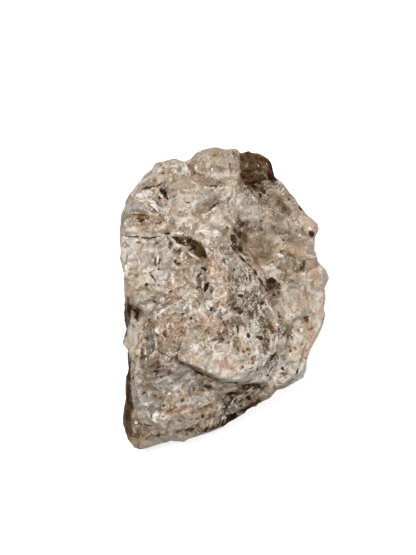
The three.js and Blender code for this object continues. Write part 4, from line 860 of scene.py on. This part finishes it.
# White splinters and painted highlights on ridges that catch the light, and open cracks and the sockets of
# lost crystals with painted shadow lines among them.
STREAKS = {  # from x, y to x, y, half width
    "white_and_glint": [  # white splinters, and painted highlights on ridges where they would catch the light
        (-22.6, 14.6, -21.2, 14.6, 0.35), (-13.9, 15.6, -11.2, 13.2, 0.45),
        (-9.9, 15.0, -9.6, 13.8, 0.25), (-8.9, 11.6, -5.7, 9.6, 0.35), (-10.5, 11.9, -10.4, 9.2, 0.45),
        (-12.6, 10.6, -11.4, 9.9, 0.35), (-13.7, 7.9, -13.4, 6.6, 0.25), (-13.5, 5.8, -13.6, 4.6, 0.25),
        (-12.5, 5.4, -12.4, 3.6, 0.2), (-9.5, 11.0, -9.7, 9.2, 0.2), (-16.6, 11.0, -16.5, 9.2, 0.25),
        (-17.7, 7.7, -17.4, 7.5, 0.4), (-17.8, 14.8, -17.5, 13.2, 0.25), (-19.6, 14.0, -19.0, 14.4, 0.3),
        (-20.9, 12.6, -15.2, 11.9, 0.22), (-23.5, 14.6, -21.4, 10.4, 0.25),
        (-21.4, 10.4, -20.8, 8.0, 0.25), (-24.2, 9.4, -24.2, 6.2, 0.6), (-19.8, 7.2, -16.6, 3.6, 0.35),
        (-20.6, 7.2, -18.8, 6.8, 0.4), (-16.6, 6.4, -15.2, 5.2, 0.5), (-21.9, 26.3, -20.5, 25.4, 0.7),
        (-21.6, 24.8, -17.6, 22.4, 0.2), (-20.0, 22.6, -17.6, 20.9, 0.25),
        (-19.6, 25.4, -16.4, 21.6, 0.15), (-18.6, 25.6, -15.8, 21.0, 0.15),
        (-24.2, 24.0, -21.8, 24.7, 0.3), (-16.3, 26.3, -15.3, 25.3, 0.4), (-13.2, 16.6, -10.0, 16.1, 0.3),
        (-3.6, 27.6, -1.8, 26.9, 0.3), (-3.4, 32.6, -3.0, 31.4, 0.2), (2.3, 27.8, 2.6, 25.4, 0.3),
        (-7.2, 16.6, -4.8, 17.4, 0.5), (-3.6, 14.6, -1.6, 13.8, 0.35), (3.8, 8.9, 4.6, 7.4, 0.25),
        (2.4, 11.2, 3.6, 9.5, 0.25), (5.1, 8.0, 5.5, 7.2, 0.25), (-2.9, 4.6, -2.5, 4.4, 0.35),
        (-2.1, 4.8, -1.9, 4.5, 0.35), (-3.6, -0.6, 1.0, 2.2, 0.3), (6.4, 4.2, 8.2, 3.8, 0.4),
        (3.4, 1.8, 4.6, 1.4, 0.3), (7.4, -3.0, 7.7, -4.8, 0.22), (6.2, -1.2, 7.2, -2.6, 0.18),
        (8.4, -1.4, 8.7, -3.0, 0.2), (5.0, -3.0, 5.4, -4.6, 0.2), (10.6, -0.2, 12.5, -4.4, 0.35),
        (12.5, -4.4, 13.2, -8.6, 0.35), (13.2, -8.6, 12.2, -12.0, 0.35), (11.4, -12.6, 9.2, -16.8, 0.25),
        (9.2, -16.8, 7.0, -19.0, 0.25), (8.4, -13.8, 5.2, -18.0, 0.25), (7.9, -12.4, 7.7, -13.2, 0.7),
        (4.6, -8.0, 5.4, -9.4, 0.5), (6.6, -19.9, 8.4, -19.9, 0.3), (9.4, -18.6, 10.0, -20.2, 0.25),
        (-3.2, -17.6, -1.8, -18.9, 0.35), (-0.4, -15.3, 1.0, -15.7, 0.18),
        (-1.4, -18.8, 0.4, -18.0, 0.15), (-8.6, -1.0, -8.2, -2.4, 0.35), (-10.4, -2.6, -9.4, -1.0, 0.25),
        (-17.4, -3.9, -13.6, -1.8, 0.3), (-13.4, -1.6, -10.0, 0.4, 0.25),
        (-22.2, -15.6, -20.6, -16.4, 0.3), (-17.2, -29.0, -16.6, -28.7, 0.7),
        (-12.8, -22.5, -12.0, -22.1, 0.25), (-15.6, -19.6, -15.2, -20.0, 0.35),
        (-13.6, -21.3, -13.0, -21.1, 0.35), (-16.8, -20.4, -16.4, -20.6, 0.3),
        (-19.9, -25.6, -19.3, -26.4, 0.5), (-20.6, -28.4, -19.6, -28.0, 0.35),
        (-17.2, -8.0, -17.0, -12.0, 0.25), (-22.4, -18.6, -21.8, -19.4, 0.35),
        (-21.8, -21.6, -21.4, -23.4, 0.3), (2.3, -24.8, 4.2, -23.9, 0.25), (1.6, -26.4, 2.0, -25.2, 0.3),
        (0.2, -27.4, 0.6, -26.6, 0.25), (2.4, -26.6, 3.0, -27.4, 0.25), (0.2, -29.0, 1.0, -28.4, 0.2),
        (-0.8, -28.8, 0.2, -29.8, 0.2), (4.4, -27.2, 5.2, -26.4, 0.18), (3.8, -22.6, 5.0, -21.6, 0.12),
        (5.4, -23.2, 7.4, -21.8, 0.12), (7.6, -23.6, 9.8, -21.6, 0.12), (-2.8, -22.9, -2.4, -22.7, 0.35),
        (-10.8, -25.9, -7.4, -25.3, 0.25), (-6.4, -25.0, -3.6, -24.7, 0.25),
        (1.6, -29.0, 2.8, -28.0, 0.25), (13.6, -14.6, 12.4, -16.4, 0.2), (-1.6, -30.6, 0.2, -29.6, 0.25),
        (-4.4, -33.2, -3.8, -33.0, 0.3), (7.9, 17.7, 7.4, 17.3, 0.3), (7.9, 16.4, 8.0, 16.2, 0.3),
        (8.9, 19.4, 9.8, 18.2, 0.2), (13.2, 11.3, 14.4, 10.8, 0.35), (20.9, 17.9, 22.0, 17.3, 0.4),
        (13.1, 22.9, 13.5, 22.3, 0.22), (18.8, 16.4, 18.6, 15.6, 0.3), (19.1, 1.6, 18.9, 0.9, 0.4),
        (19.3, -7.2, 18.9, -8.0, 0.45), (16.6, -4.0, 18.4, -3.2, 0.25), (14.0, -9.0, 14.9, -6.4, 0.15),
        (13.6, -8.6, 14.0, -6.2, 0.15), (20.0, -15.4, 20.3, -15.1, 0.8), (12.0, 5.1, 13.0, 4.9, 0.22),
        (19.6, 6.4, 20.4, 6.2, 0.3), (9.6, -19.4, 10.2, -20.2, 0.3), (14.2, -16.4, 14.8, -17.8, 0.15),
        (-21.0, 25.0, -15.4, 20.4, 0.16), (-19.6, 26.4, -14.8, 21.6, 0.12),
        (-18.2, 24.0, -14.4, 22.6, 0.12), (10.9, -12.6, 9.2, -16.6, 0.25), (8.6, -15.2, 5.4, -18.2, 0.25),
        (9.9, -14.0, 7.8, -17.4, 0.2), (12.6, -15.2, 11.6, -17.8, 0.3), (13.8, -16.2, 12.8, -18.8, 0.3),
        (3.0, -24.6, 4.4, -23.7, 0.4), (0.6, -22.0, 2.8, -21.2, 0.2), (1.0, -22.7, 3.2, -21.9, 0.15),
        (1.8, -26.5, 3.0, -26.8, 0.25), (6.2, -23.4, 7.2, -22.4, 0.15), (-9.8, -25.9, -8.2, -25.2, 0.4),
        (-7.4, -25.4, -5.8, -24.8, 0.4), (-5.0, -25.2, -3.6, -25.6, 0.35), (17.2, -4.6, 18.6, -4.0, 0.4),
        (-9.8, 3.2, -8.6, 2.6, 0.35), (-0.6, -1.8, 0.6, -2.6, 0.35), (-18.6, 14.6, -17.8, 14.0, 0.35),
        (-7.8, 5.2, -7.2, 4.2, 0.35), (-9.2, -25.8, -7.2, -25.0, 0.6), (-6.4, -24.8, -4.8, -24.4, 0.5),
        (1.0, -27.4, 1.4, -26.8, 0.35), (20.2, -4.3, 21.0, -4.0, 0.35), (5.0, -21.9, 5.8, -21.4, 0.2),
        (8.2, 33.7, 8.8, 33.4, 0.09), (10.6, 33.9, 11.0, 33.3, 0.1), (9.0, 31.7, 9.6, 31.8, 0.09),
    ],
    "gap": [  # open cracks and sockets of lost crystals, and painted shadow lines under the lip, at the foot of the block's step and down the left edge
        (-20.4, 27.3, -16.6, 28.4, 0.42), (-18.4, 27.9, -14.4, 29.2, 0.25),
        (-25.6, 15.8, -21.2, 15.5, 0.22), (-20.6, 15.4, -15.6, 15.6, 0.22),
        (-23.6, 20.9, -19.0, 21.0, 0.2), (-17.1, 18.7, -15.3, 19.0, 0.22),
        (-15.3, 20.3, -14.9, 19.2, 0.22), (-13.0, 18.8, -12.8, 18.9, 0.28),
        (-12.4, 15.1, -10.6, 14.2, 0.65), (-9.2, 15.1, -8.4, 14.3, 0.75), (-8.6, 12.2, -6.6, 12.9, 0.6),
        (-6.4, 13.0, -5.0, 10.8, 0.65), (-17.1, 10.6, -17.0, 8.2, 0.3), (-15.9, 10.8, -16.1, 8.8, 0.3),
        (-16.7, 7.5, -16.1, 7.5, 0.3), (-12.4, 9.9, -11.8, 9.2, 0.3), (-16.6, 14.0, -16.5, 13.4, 0.28),
        (-18.7, 7.3, -15.7, 2.8, 0.2), (-4.95, 1.7, -4.2, 4.2, 0.5), (-5.6, 7.9, -4.5, 7.5, 0.4),
        # Painted shadow: the marks from (1.6, 13.8) to (10.9, 1.4) darken the foot of the block's step down
        # to the shelf.
        (-6.9, 5.5, -5.5, 7.2, 0.25), (1.6, 13.8, 3.6, 11.2, 0.3), (3.6, 11.0, 5.4, 9.0, 0.3),
        (5.6, 8.8, 7.0, 7.4, 0.2), (7.0, 7.2, 8.2, 5.8, 0.35), (8.4, 5.4, 10.0, 3.2, 0.4),
        (10.0, 3.0, 10.9, 1.4, 0.25), (13.0, -2.8, 13.5, -4.4, 0.25), (0.3, 18.2, 1.3, 17.2, 0.2),
        (-1.4, 13.4, -0.4, 12.4, 0.2), (-2.4, -2.5, -0.6, -4.6, 0.2), (-0.4, -4.8, 0.6, -6.8, 0.2),
        (2.4, 7.8, 2.2, 7.2, 0.3), (2.0, 10.3, 2.0, 9.9, 0.25), (9.8, -10.0, 9.6, -12.6, 0.2),
        (3.1, -6.2, 3.0, -8.4, 0.28), (3.0, -11.0, 3.5, -12.8, 0.25), (11.8, -13.4, 11.0, -15.0, 0.25),
        (12.6, -12.8, 12.0, -14.4, 0.15), (10.9, -15.6, 10.4, -17.2, 0.15),
        # Painted shadow: the four marks from (-10.6, -15.1) to (3.4, -20.5) are the shadow line under the
        # lip.
        (-10.6, -15.1, -6.6, -17.6, 0.22), (-6.6, -17.6, -3.4, -19.1, 0.27),
        (-3.4, -19.1, 0.0, -20.3, 0.2), (0.0, -20.3, 3.4, -20.5, 0.22), (-5.0, -21.4, -3.6, -21.8, 0.45),
        (0.2, -23.8, 4.2, -22.9, 0.3), (1.0, -29.8, 3.2, -28.6, 0.5), (4.8, -27.6, 9.0, -24.9, 0.35),
        (-2.0, -31.8, 0.6, -31.0, 0.3), (-5.2, -33.2, -3.6, -32.4, 0.45), (0.2, -26.0, 0.8, -27.6, 0.3),
        (-4.8, -27.2, -3.6, -26.2, 0.22), (5.4, -23.8, 5.8, -23.0, 0.3),
        (-23.2, -14.6, -21.8, -16.4, 0.22), (-23.6, -17.0, -23.8, -20.4, 0.4),
        (-21.8, -31.4, -18.4, -31.8, 0.2), (-19.6, -34.9, -16.2, -34.5, 0.12),
        # Painted shade: the three marks from (-24.5, 0.4) darken the left edge and the recess under the
        # prism.
        (-24.5, 0.4, -24.4, -7.0, 0.35), (-21.9, -3.2, -21.8, -4.9, 0.35),
        (-22.8, -2.6, -21.9, -3.0, 0.5), (-19.4, -9.6, -18.8, -9.7, 0.22),
        (-20.4, -12.2, -20.6, -14.6, 0.3), (-17.4, -17.2, -15.0, -16.1, 0.2),
        (-5.0, 28.2, -0.8, 27.9, 0.16), (-10.0, 24.3, -8.7, 23.6, 0.2), (-18.4, 31.6, -18.0, 31.8, 0.3),
        (-7.9, 30.7, -7.2, 32.0, 0.22), (7.1, 25.5, 7.4, 25.3, 0.3), (9.2, 26.6, 9.4, 25.8, 0.25),
        (-4.2, 21.9, -1.4, 24.2, 0.2), (14.1, 15.1, 14.9, 14.6, 0.25), (18.3, -17.4, 17.8, -18.7, 0.3),
        (18.4, 23.6, 19.6, 22.0, 0.2), (3.6, 12.8, 4.0, 12.4, 0.4), (9.0, 23.8, 9.2, 23.4, 0.2),
        (-20.4, 24.5, -15.8, 20.8, 0.12), (-18.8, 25.6, -15.2, 22.4, 0.12),
        (12.4, -12.8, 11.0, -15.6, 0.22), (12.2, -16.0, 11.0, -18.2, 0.14),
        (13.4, -15.0, 12.4, -16.6, 0.12), (4.7, 30.7, 5.4, 30.4, 0.8), (6.6, 30.5, 7.1, 30.2, 0.6),
        (11.3, 30.8, 11.7, 30.3, 0.7), (6.1, 32.4, 6.8, 31.5, 0.4), (4.6, 35.2, 5.0, 34.6, 0.4),
        (8.2, 36.0, 10.6, 35.0, 0.25), (5.4, 29.2, 6.6, 28.8, 0.35), (4.7, 30.5, 5.5, 30.3, 0.6),
        # Painted shade: the marks from (-24.9, -4.0) on darken the steep left wall.
        (6.5, 30.9, 7.2, 30.2, 0.5), (7.6, 34.4, 8.6, 34.8, 0.3), (-24.9, -4.0, -24.8, -9.4, 0.55),
        (-24.6, -13.8, -24.7, -22.4, 0.6), (-23.6, -14.6, -23.9, -17.6, 0.3),
    ],
}


def streaks(p, marks):
    """Strength at each point of straight marks that fade at their sides: from the distance to each mark's
    middle line, over a half width that narrows to a third towards both ends."""
    value = np.zeros(p.shape[1])
    for x0, y0, x1, y1, half in marks:
        length = np.hypot(x1 - x0, y1 - y0)
        along, across = turned(p[0], p[1], (x0, y0), np.degrees(np.arctan2(y1 - y0, x1 - x0)))
        place = (along / length).clip(0.0, 1.0)
        gap = np.hypot(along - place * length, across)
        value = np.maximum(value, smooth(1.3, 0.4, gap / (half * (0.35 + 2.6 * place * (1.0 - place)))))
    return value


slightly = wandered(points, 0.3, 1.5, 440)
ragged = wandered(wandered(points, 0.7, 3.2, 400), 0.35, 1.1, 420)
shows = {kind: ovals(slightly if kind in ("garnet", "rust") else ragged, marks)
         for kind, marks in MINERALS.items()}
shows.update({kind: streaks(slightly, marks) for kind, marks in STREAKS.items()})

# Away from the listed faces, on the sides and the back, the same minerals turn up by chance in patches. Down
# the steep sides holes are torn in the listed marks, so that they do not run down as stripes.
RARITY = {"garnet": 0.62, "rust": 0.62, "smoke_and_shade": 0.6, "olive": 0.55, "brown_and_shade": 0.68, "ochre": 0.65,
          "white_and_glint": 0.6, "gap": 0.7}
OTHER_RARITY, PATCH_EDGE, PATCH_STRENGTH = 0.25, 0.25, 0.7
TORN_AWAY = {"garnet": 0.6, "rust": 1.0, "gap": 0.3, "ochre": 1.0, "brown_and_shade": 0.1, "smoke_and_shade": 0.1, "white_and_glint": 1.0}

seen_from_above = smooth(-4.5, -0.5, points[2] - widest)
steep = smooth(2.0, 5.0, top_height(points[0], points[1]) - points[2])
holes = smooth(0.62, 0.42, cloud(points, 2.6, 560))
for number, kind in enumerate(shows):
    rarity = RARITY.get(kind, OTHER_RARITY)
    chances = cloud(points, 3.4, 500 + number) + 0.5 * cloud(points, 1.3, 520 + number)
    patch = PATCH_STRENGTH * smooth(rarity, rarity + PATCH_EDGE, chances)
    listed = shows[kind] * (1.0 - TORN_AWAY.get(kind, 0.0) * steep * holes)
    shows[kind] = np.maximum(listed * seen_from_above, patch * (1.0 - seen_from_above))
shows.update(medium=own[MEDIUM_GRAIN], quiet=quiet, crest=crest)


def stone_object():
    """The closed mesh in metres, with a number at each point for how strongly each mineral shows there."""
    mesh = bpy.data.meshes.new("stone_surface")
    mesh.vertices.add(points.shape[1])
    mesh.vertices.foreach_set("co", (points.T * MM).ravel())
    mesh.loops.add(faces.size)
    mesh.loops.foreach_set("vertex_index", faces.ravel())
    mesh.polygons.add(len(faces))
    mesh.polygons.foreach_set("loop_start", np.arange(len(faces)) * 4)
    mesh.polygons.foreach_set("use_smooth", np.ones(len(faces), dtype=bool))
    mesh.update(calc_edges=True)
    mesh.set_sharp_from_angle(angle=radians(40))
    for name, values in shows.items():
        mesh.attributes.new(name, "FLOAT", "POINT").data.foreach_set("value", values.astype(np.float32))
    piece = bpy.data.objects.new("stone_dressed", mesh)
    bpy.context.scene.collection.objects.link(piece)
    return piece


# --------------------------------------------------------------------------------------------------------
# The stone's finish
# Glassy cleavage faces, sugary fine grain and dull stained seams. Every mineral lays its own colour over the
# feldspar ground where its number is high, broken up by noise finer than the mesh.

finish = bpy.data.materials.new("stone")
finish.use_nodes = True
finish.node_tree.nodes.clear()


def srgb(red, green, blue):
    """A colour picked on a 0 to 255 screen scale, as the linear value that a shader takes."""
    c = np.array([red, green, blue]) / 255
    return (*np.where(c <= 0.04045, c / 12.92, ((c + 0.055) / 1.055) ** 2.4), 1.0)


def feed(socket, value):
    """An input joined to another node's output, or set to a plain value."""
    if isinstance(value, bpy.types.NodeSocket):
        finish.node_tree.links.new(value, socket)
    else:
        socket.default_value = value


def add_node(kind, inputs, **settings):
    """A node of the finish, with its settings made and its inputs fed."""
    made = finish.node_tree.nodes.new("ShaderNode" + kind)
    for name, value in settings.items():
        setattr(made, name, value)
    for name, value in inputs.items():
        feed(made.inputs[name], value)
    return made


def attribute(name):
    """One of the numbers kept at the stone's points."""
    return add_node("Attribute", {}, attribute_name=name).outputs["Fac"]


def maths(operation, a, b, clamp=False):
    """One sum on two values."""
    return add_node("Math", {0: a, 1: b}, operation=operation, use_clamp=clamp).outputs[0]


def times(a, b):
    """The product of two values."""
    return maths("MULTIPLY", a, b)


def plus(first, *others):
    """The sum of two or more values."""
    total = first
    for value in others:
        total = maths("ADD", total, value)
    return total


def centred(value, gain):
    """A value from 0 to 1, moved to lie about 0 and widened."""
    return times(maths("SUBTRACT", value, 0.5), gain)


def eased(value, low, high, most=1.0):
    """0 at `low`, `most` at `high`, with an S-shaped curve between them."""
    inputs = {"Value": value, "From Min": low, "From Max": high, "To Max": most}
    return add_node("MapRange", inputs, interpolation_type="SMOOTHSTEP").outputs[0]


def vector(operation, *values):
    """One sum on colours, places or directions."""
    return add_node("VectorMath", dict(enumerate(values)), operation=operation).outputs[0]


def squeezed(place, share):
    """The place scaled by `share` along Y, which draws out what is laid on it."""
    return add_node("Mapping", {"Vector": place, "Scale": (1.0, share, 1.0)}).outputs[0]


def noise(place, size_mm, detail, rough, output="Fac"):
    """Soft noise with lumps of one size, and finer ones on them by its detail and roughness."""
    inputs = {"Vector": place, "Scale": 1.0 / size_mm, "Detail": detail, "Roughness": rough}
    return add_node("TexNoise", inputs).outputs[output]


def cells(place, size_mm, output="Color", feature="F1"):
    """Cells of one size: each cell's own colour, or the distance to its edge."""
    return add_node("TexVoronoi", {"Vector": place, "Scale": 1.0 / size_mm}, feature=feature).outputs[output]


def three_of(colour):
    """The three numbers of a colour."""
    return add_node("SeparateColor", {"Color": colour}).outputs


def blend(amount, below, above, how="MIX"):
    """`above` laid over `below` by `amount`."""
    made = add_node("Mix", {"Factor": amount}, data_type="RGBA", blend_type=how, clamp_result=False)
    sockets = {socket.name: socket for socket in made.inputs if socket.type == "RGBA"}
    feed(sockets["A"], below)
    feed(sockets["B"], above)
    return next(socket for socket in made.outputs if socket.type == "RGBA")


def ramp(amount, stops):
    """A colour that runs through `stops`, listed as place and colour."""
    made = add_node("ValToRGB", {"Fac": amount})
    while len(made.color_ramp.elements) < len(stops):
        made.color_ramp.elements.new(0.5)
    for element, (place, colour) in zip(made.color_ramp.elements, stops):
        element.position, element.color = place, colour
    return made.outputs["Color"]


# Cleavage: every crystal of about 3 mm has its own direction, and splits along it into blades about 1 mm
# wide, each with its own tone, its own strength of fine lines along it, and its own tilt.
CRYSTAL, BLADE, LINE, SPECK, CRUMB, GRIT, THREAD, MOTTLE = 3.2, 0.9, 0.5, 0.5, 0.42, 0.42, 0.45, 2.6  # mm
BEND, CRYSTAL_BEND, BLADE_BEND = 1 / 0.45, (2.4,) * 3, (0.5,) * 3  # mm: size of the bends, how far each goes
WHOLE_TURN, TO_MIDDLE = (6.28,) * 3, (-0.5,) * 3
THREAD_TURN = 2.6  # radians, down the right flank

to_mm = {"Vector": add_node("TexCoord", {}).outputs["Object"], "Scale": (1 / MM,) * 3}
place = add_node("Mapping", to_mm).outputs[0]
bend = noise(place, BEND, 2.0, 0.5, "Color")
bent = vector("MULTIPLY_ADD", bend, CRYSTAL_BEND, place)
crystal = cells(bent, CRYSTAL)
crystal_frost, crystal_tone, crystal_grain = three_of(crystal)
crystal_edge = cells(bent, CRYSTAL, "Distance", "DISTANCE_TO_EDGE")
turn = {"Vector": place, "Rotation": vector("MULTIPLY", crystal, WHOLE_TURN)}
along = add_node("VectorRotate", turn, rotation_type="EULER_XYZ").outputs[0]
bent_along = vector("MULTIPLY_ADD", bend, BLADE_BEND, along)
drawn = squeezed(bent_along, 0.4)
blade = cells(drawn, BLADE)
blade_tone, blade_lines, _ = three_of(blade)
lines = noise(squeezed(bent_along, 0.14), LINE, 1.5, 0.6)
crumbs = noise(drawn, CRUMB, 1.0, 0.5)
speckle = noise(place, SPECK, 2.0, 0.7)
mottle = noise(place, MOTTLE, 3.0, 0.6)

# Light and dark from blade to blade and along their lines, with painted highlight on the raised edges of the
# grains and painted shade in the hollows between them. Some crystals are smooth and glassy and others sugary,
# and some are paler than the ones beside them.
busy = plus(centred(blade_tone, 0.75), times(centred(lines, 2.8), blade_lines),
            times(attribute("crest"), 0.9), centred(speckle, 0.9))
busy = times(busy, plus(0.3, times(crystal_grain, 1.3)))
busy = times(busy, maths("SUBTRACT", 1.0, times(attribute("quiet"), 0.9)))
busy = plus(busy, centred(crystal_frost, 0.7))
light_and_dark = eased(busy, -0.8, 0.8)
torn = plus(centred(blade_tone, 0.55), centred(speckle, 1.2))


def laid(colour, kind, low, high, dark, light):
    """A mineral over what is there, with torn edges: its amount with noise added, eased from low to high."""
    amount = attribute(kind)
    ragged_amount = plus(amount, times(torn, eased(amount, 0.0, 0.2)))
    own_colour = blend(light_and_dark, srgb(*dark), srgb(*light))
    return blend(eased(ragged_amount, low, high), colour, own_colour)


def film(kind, most):
    """How much of a thin film shows: like a mineral, but never quite covering."""
    amount = attribute(kind)
    return eased(plus(amount, times(torn, times(amount, 0.8))), 0.0, 1.0, most)


# Ground: each grain of feldspar takes a tone of its own, drifting with the mottle.
GROUND = [(0.2, srgb(146, 122, 98)), (0.4, srgb(172, 148, 124)), (0.55, srgb(180, 160, 138)),
          (0.7, srgb(160, 146, 130)), (0.88, srgb(190, 172, 150))]
BODY_MINERALS = [  # kind, the amounts where it starts and is full, its dark tone, its light tone
    ("cream", 0.05, 0.6, (184, 163, 138), (218, 203, 182)),
    ("rose", 0.05, 0.7, (168, 136, 113), (200, 171, 149)),
    ("grey", 0.05, 0.6, (136, 122, 108), (190, 180, 169)),
    ("olive", 0.05, 0.5, (82, 66, 40), (152, 136, 104)),
]
colour = ramp(plus(times(attribute("medium"), 0.3), times(mottle, 0.45), times(crystal_tone, 0.3)), GROUND)
for mineral in BODY_MINERALS:
    colour = laid(colour, *mineral)

# Frost on the freshly split crystals, and in places painted light that lifts slopes facing away from the
# lamp;
# a thin brown film over the weathered ones, and in places painted shade along the lip and down the left wall.
colour = blend(film("pale", 0.75), colour, srgb(229, 218, 205))
colour = blend(film("stain_and_shade", 0.9), colour, (0.45, 0.37, 0.29, 1.0), how="MULTIPLY")

# Where the grain relief and the tone noise run high the colour is painted near white, a painted highlight on
# raised edges, and where they run low it is painted dark brown, painted shade in the hollows. The crystal
# rims take a lighter or darker tone, and here and there a speck is painted bright as a glint or dark as a
# small hole.
# The right flank is peppered with threads and grit.
down_flank = add_node("VectorRotate", {"Vector": bent, "Angle": THREAD_TURN}, rotation_type="Z_AXIS")
threads = noise(squeezed(down_flank.outputs[0], 0.3), THREAD, 1.5, 0.6)
grit = three_of(cells(place, GRIT))[0]
pepper = plus(times(grit, 0.25), times(threads, 0.5), times(mottle, 0.25))
rim = eased(crystal_edge, 0.06, 0.0)
TOUCHES = [
    (eased(busy, 0.12, 1.0, 0.95), srgb(232, 224, 214)),
    (eased(busy, -0.12, -1.05, 0.9), srgb(70, 45, 24)),
    (times(rim, eased(crystal_tone, 0.6, 0.8, 0.5)), srgb(232, 222, 209)),
    (times(rim, eased(crystal_tone, 0.35, 0.15, 0.7)), srgb(80, 54, 32)),
    (eased(crumbs, 0.65, 0.75, 0.85), srgb(238, 230, 220)),
    (eased(crumbs, 0.33, 0.25, 0.85), srgb(58, 36, 18)),
    (times(attribute("pepper"), eased(pepper, 0.55, 0.65, 0.85)), srgb(226, 216, 200)),
    (times(attribute("pepper"), eased(pepper, 0.45, 0.36, 0.85)), srgb(76, 58, 34)),
]
for amount, touch in TOUCHES:
    colour = blend(amount, colour, touch)

# The glassy and the dark minerals lie over all that, and with them the painted highlights of the white marks
# and the painted shade of the smoke, brown and gap marks.
LATE_MINERALS = [  # as for the body minerals
    ("ochre", 0.1, 0.8, (142, 106, 62), (204, 174, 126)),
    ("smoke_and_shade", 0.0, 1.1, (88, 66, 42), (146, 123, 94)),
    ("brown_and_shade", 0.1, 0.6, (38, 23, 10), (102, 80, 58)),
    ("white_and_glint", 0.25, 0.8, (208, 197, 184), (242, 236, 228)),
    ("rust", 0.25, 0.75, (80, 45, 14), (162, 108, 48)),
    ("gap", 0.2, 0.7, (32, 18, 7), (94, 68, 42)),
    ("garnet", 0.25, 0.55, (32, 13, 8), (80, 44, 32)),
]
for mineral in LATE_MINERALS:
    colour = laid(colour, *mineral)

# Each blade catches the light at a tilt of its own, over the small steps and pits. Dark and open places are
# dull.
TILT = (0.6,) * 3
SMOOTHEST, ROUGHEST, MOST_SHINE = 0.18, 0.62, 0.36

roughness = add_node("MapRange", {"Value": blade_lines, "To Min": SMOOTHEST, "To Max": ROUGHEST}).outputs[0]
height = plus(times(lines, 0.6), times(speckle, 0.6))
bump = add_node("Bump", {"Strength": 0.7, "Distance": 0.4 * MM, "Height": height}).outputs[0]
tilt = vector("ADD", vector("ADD", blade, TO_MIDDLE), vector("ADD", crystal, TO_MIDDLE))
normal = vector("NORMALIZE", vector("MULTIPLY_ADD", tilt, TILT, bump))
dull = plus(maths("MAXIMUM", attribute("brown_and_shade"), attribute("gap")), times(attribute("smoke_and_shade"), 0.6))
shine = times(maths("SUBTRACT", 1.0, dull, clamp=True), MOST_SHINE)
surface_shader = add_node("BsdfPrincipled", {
    "Base Color": colour, "Roughness": roughness, "Normal": normal, "Specular IOR Level": shine})
add_node("OutputMaterial", {"Surface": surface_shader.outputs[0]})

stone = stone_object()
stone.data.materials.append(finish)
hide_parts("stone")
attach(stone, "root")


# --------------------------------------------------------------------------------------------------------
# The floor
# A plain white sheet, large enough to fill the view on every side of the stone.

FLOOR_HALF, FLOOR_LEVEL = 2.0, -0.0002  # metres

floor_mesh = bpy.data.meshes.new("floor")
corners = [(-1, -1), (1, -1), (1, 1), (-1, 1)]
places = [(x * FLOOR_HALF, y * FLOOR_HALF, FLOOR_LEVEL) for x, y in corners]
floor_mesh.from_pydata(places, [], [(0, 1, 2, 3)])
floor = bpy.data.objects.new("floor", floor_mesh)
bpy.context.scene.collection.objects.link(floor)
paper = bpy.data.materials.new("floor")
paper.use_nodes = True
paper_shader = paper.node_tree.nodes["Principled BSDF"]
paper_shader.inputs["Base Color"].default_value = (0.8, 0.8, 0.8, 1.0)
paper_shader.inputs["Roughness"].default_value = 0.9
seen = paper.node_tree.nodes.new("ShaderNodeLightPath").outputs["Is Camera Ray"]
paper.node_tree.links.new(seen, paper_shader.inputs["Emission Color"])  # the glow is for the camera alone
paper_shader.inputs["Emission Strength"].default_value = 0.7
floor_mesh.materials.append(paper)


# --------------------------------------------------------------------------------------------------------
# Light and camera
# A wide soft light beyond the stone's top end and a weaker one at its right, both a touch cool, in an even
# surround that is warmer, so that the shadows are brown. The camera looks straight down on the stone.

LAMP_COLOUR, SURROUND_COLOUR = (0.96, 0.985, 1.0), (1.0, 0.94, 0.87, 1.0)
LAMP_TARGET = (0.0, 0.0, 0.015)


def soft_light(name, place, size, power):
    """A square area light in metres, turned to face the stone."""
    lamp = bpy.data.lights.new(name, "AREA")
    lamp.shape, lamp.size, lamp.energy, lamp.color = "SQUARE", size, power, LAMP_COLOUR
    holder = bpy.data.objects.new(name, lamp)
    holder.location = place
    x, y, z = np.array(place) - np.array(LAMP_TARGET)
    holder.rotation_euler = (np.arctan2(np.hypot(x, y), z), 0.0, np.arctan2(x, -y))
    bpy.context.scene.collection.objects.link(holder)


soft_light("key", (-0.14, 0.18, 0.6), 0.3, 3.6)
soft_light("side", (0.4, 0.2, 0.35), 0.25, 0.8)

world = bpy.data.worlds.new("studio")
world.use_nodes = True
background = world.node_tree.nodes["Background"]
background.inputs["Color"].default_value = SURROUND_COLOUR
background.inputs["Strength"].default_value = 0.25
bpy.context.scene.world = world
bpy.context.scene.view_settings.view_transform = "Standard"

VIEW_HEIGHT = 0.13875  # metres of the stone's middle plane that the view takes in, from top to bottom
MIDDLE_PLANE = 0.016
CAMERA_DISTANCE = 0.6
VIEW_CENTRE = (-0.0041, 0.0055)
SENSOR = 36.0

lens = bpy.data.cameras.new("camera")
lens.sensor_width = SENSOR
lens.lens = SENSOR * CAMERA_DISTANCE / VIEW_HEIGHT
camera = bpy.data.objects.new("camera", lens)
camera.location = (*VIEW_CENTRE, MIDDLE_PLANE + CAMERA_DISTANCE)
bpy.context.scene.collection.objects.link(camera)
bpy.context.scene.camera = camera
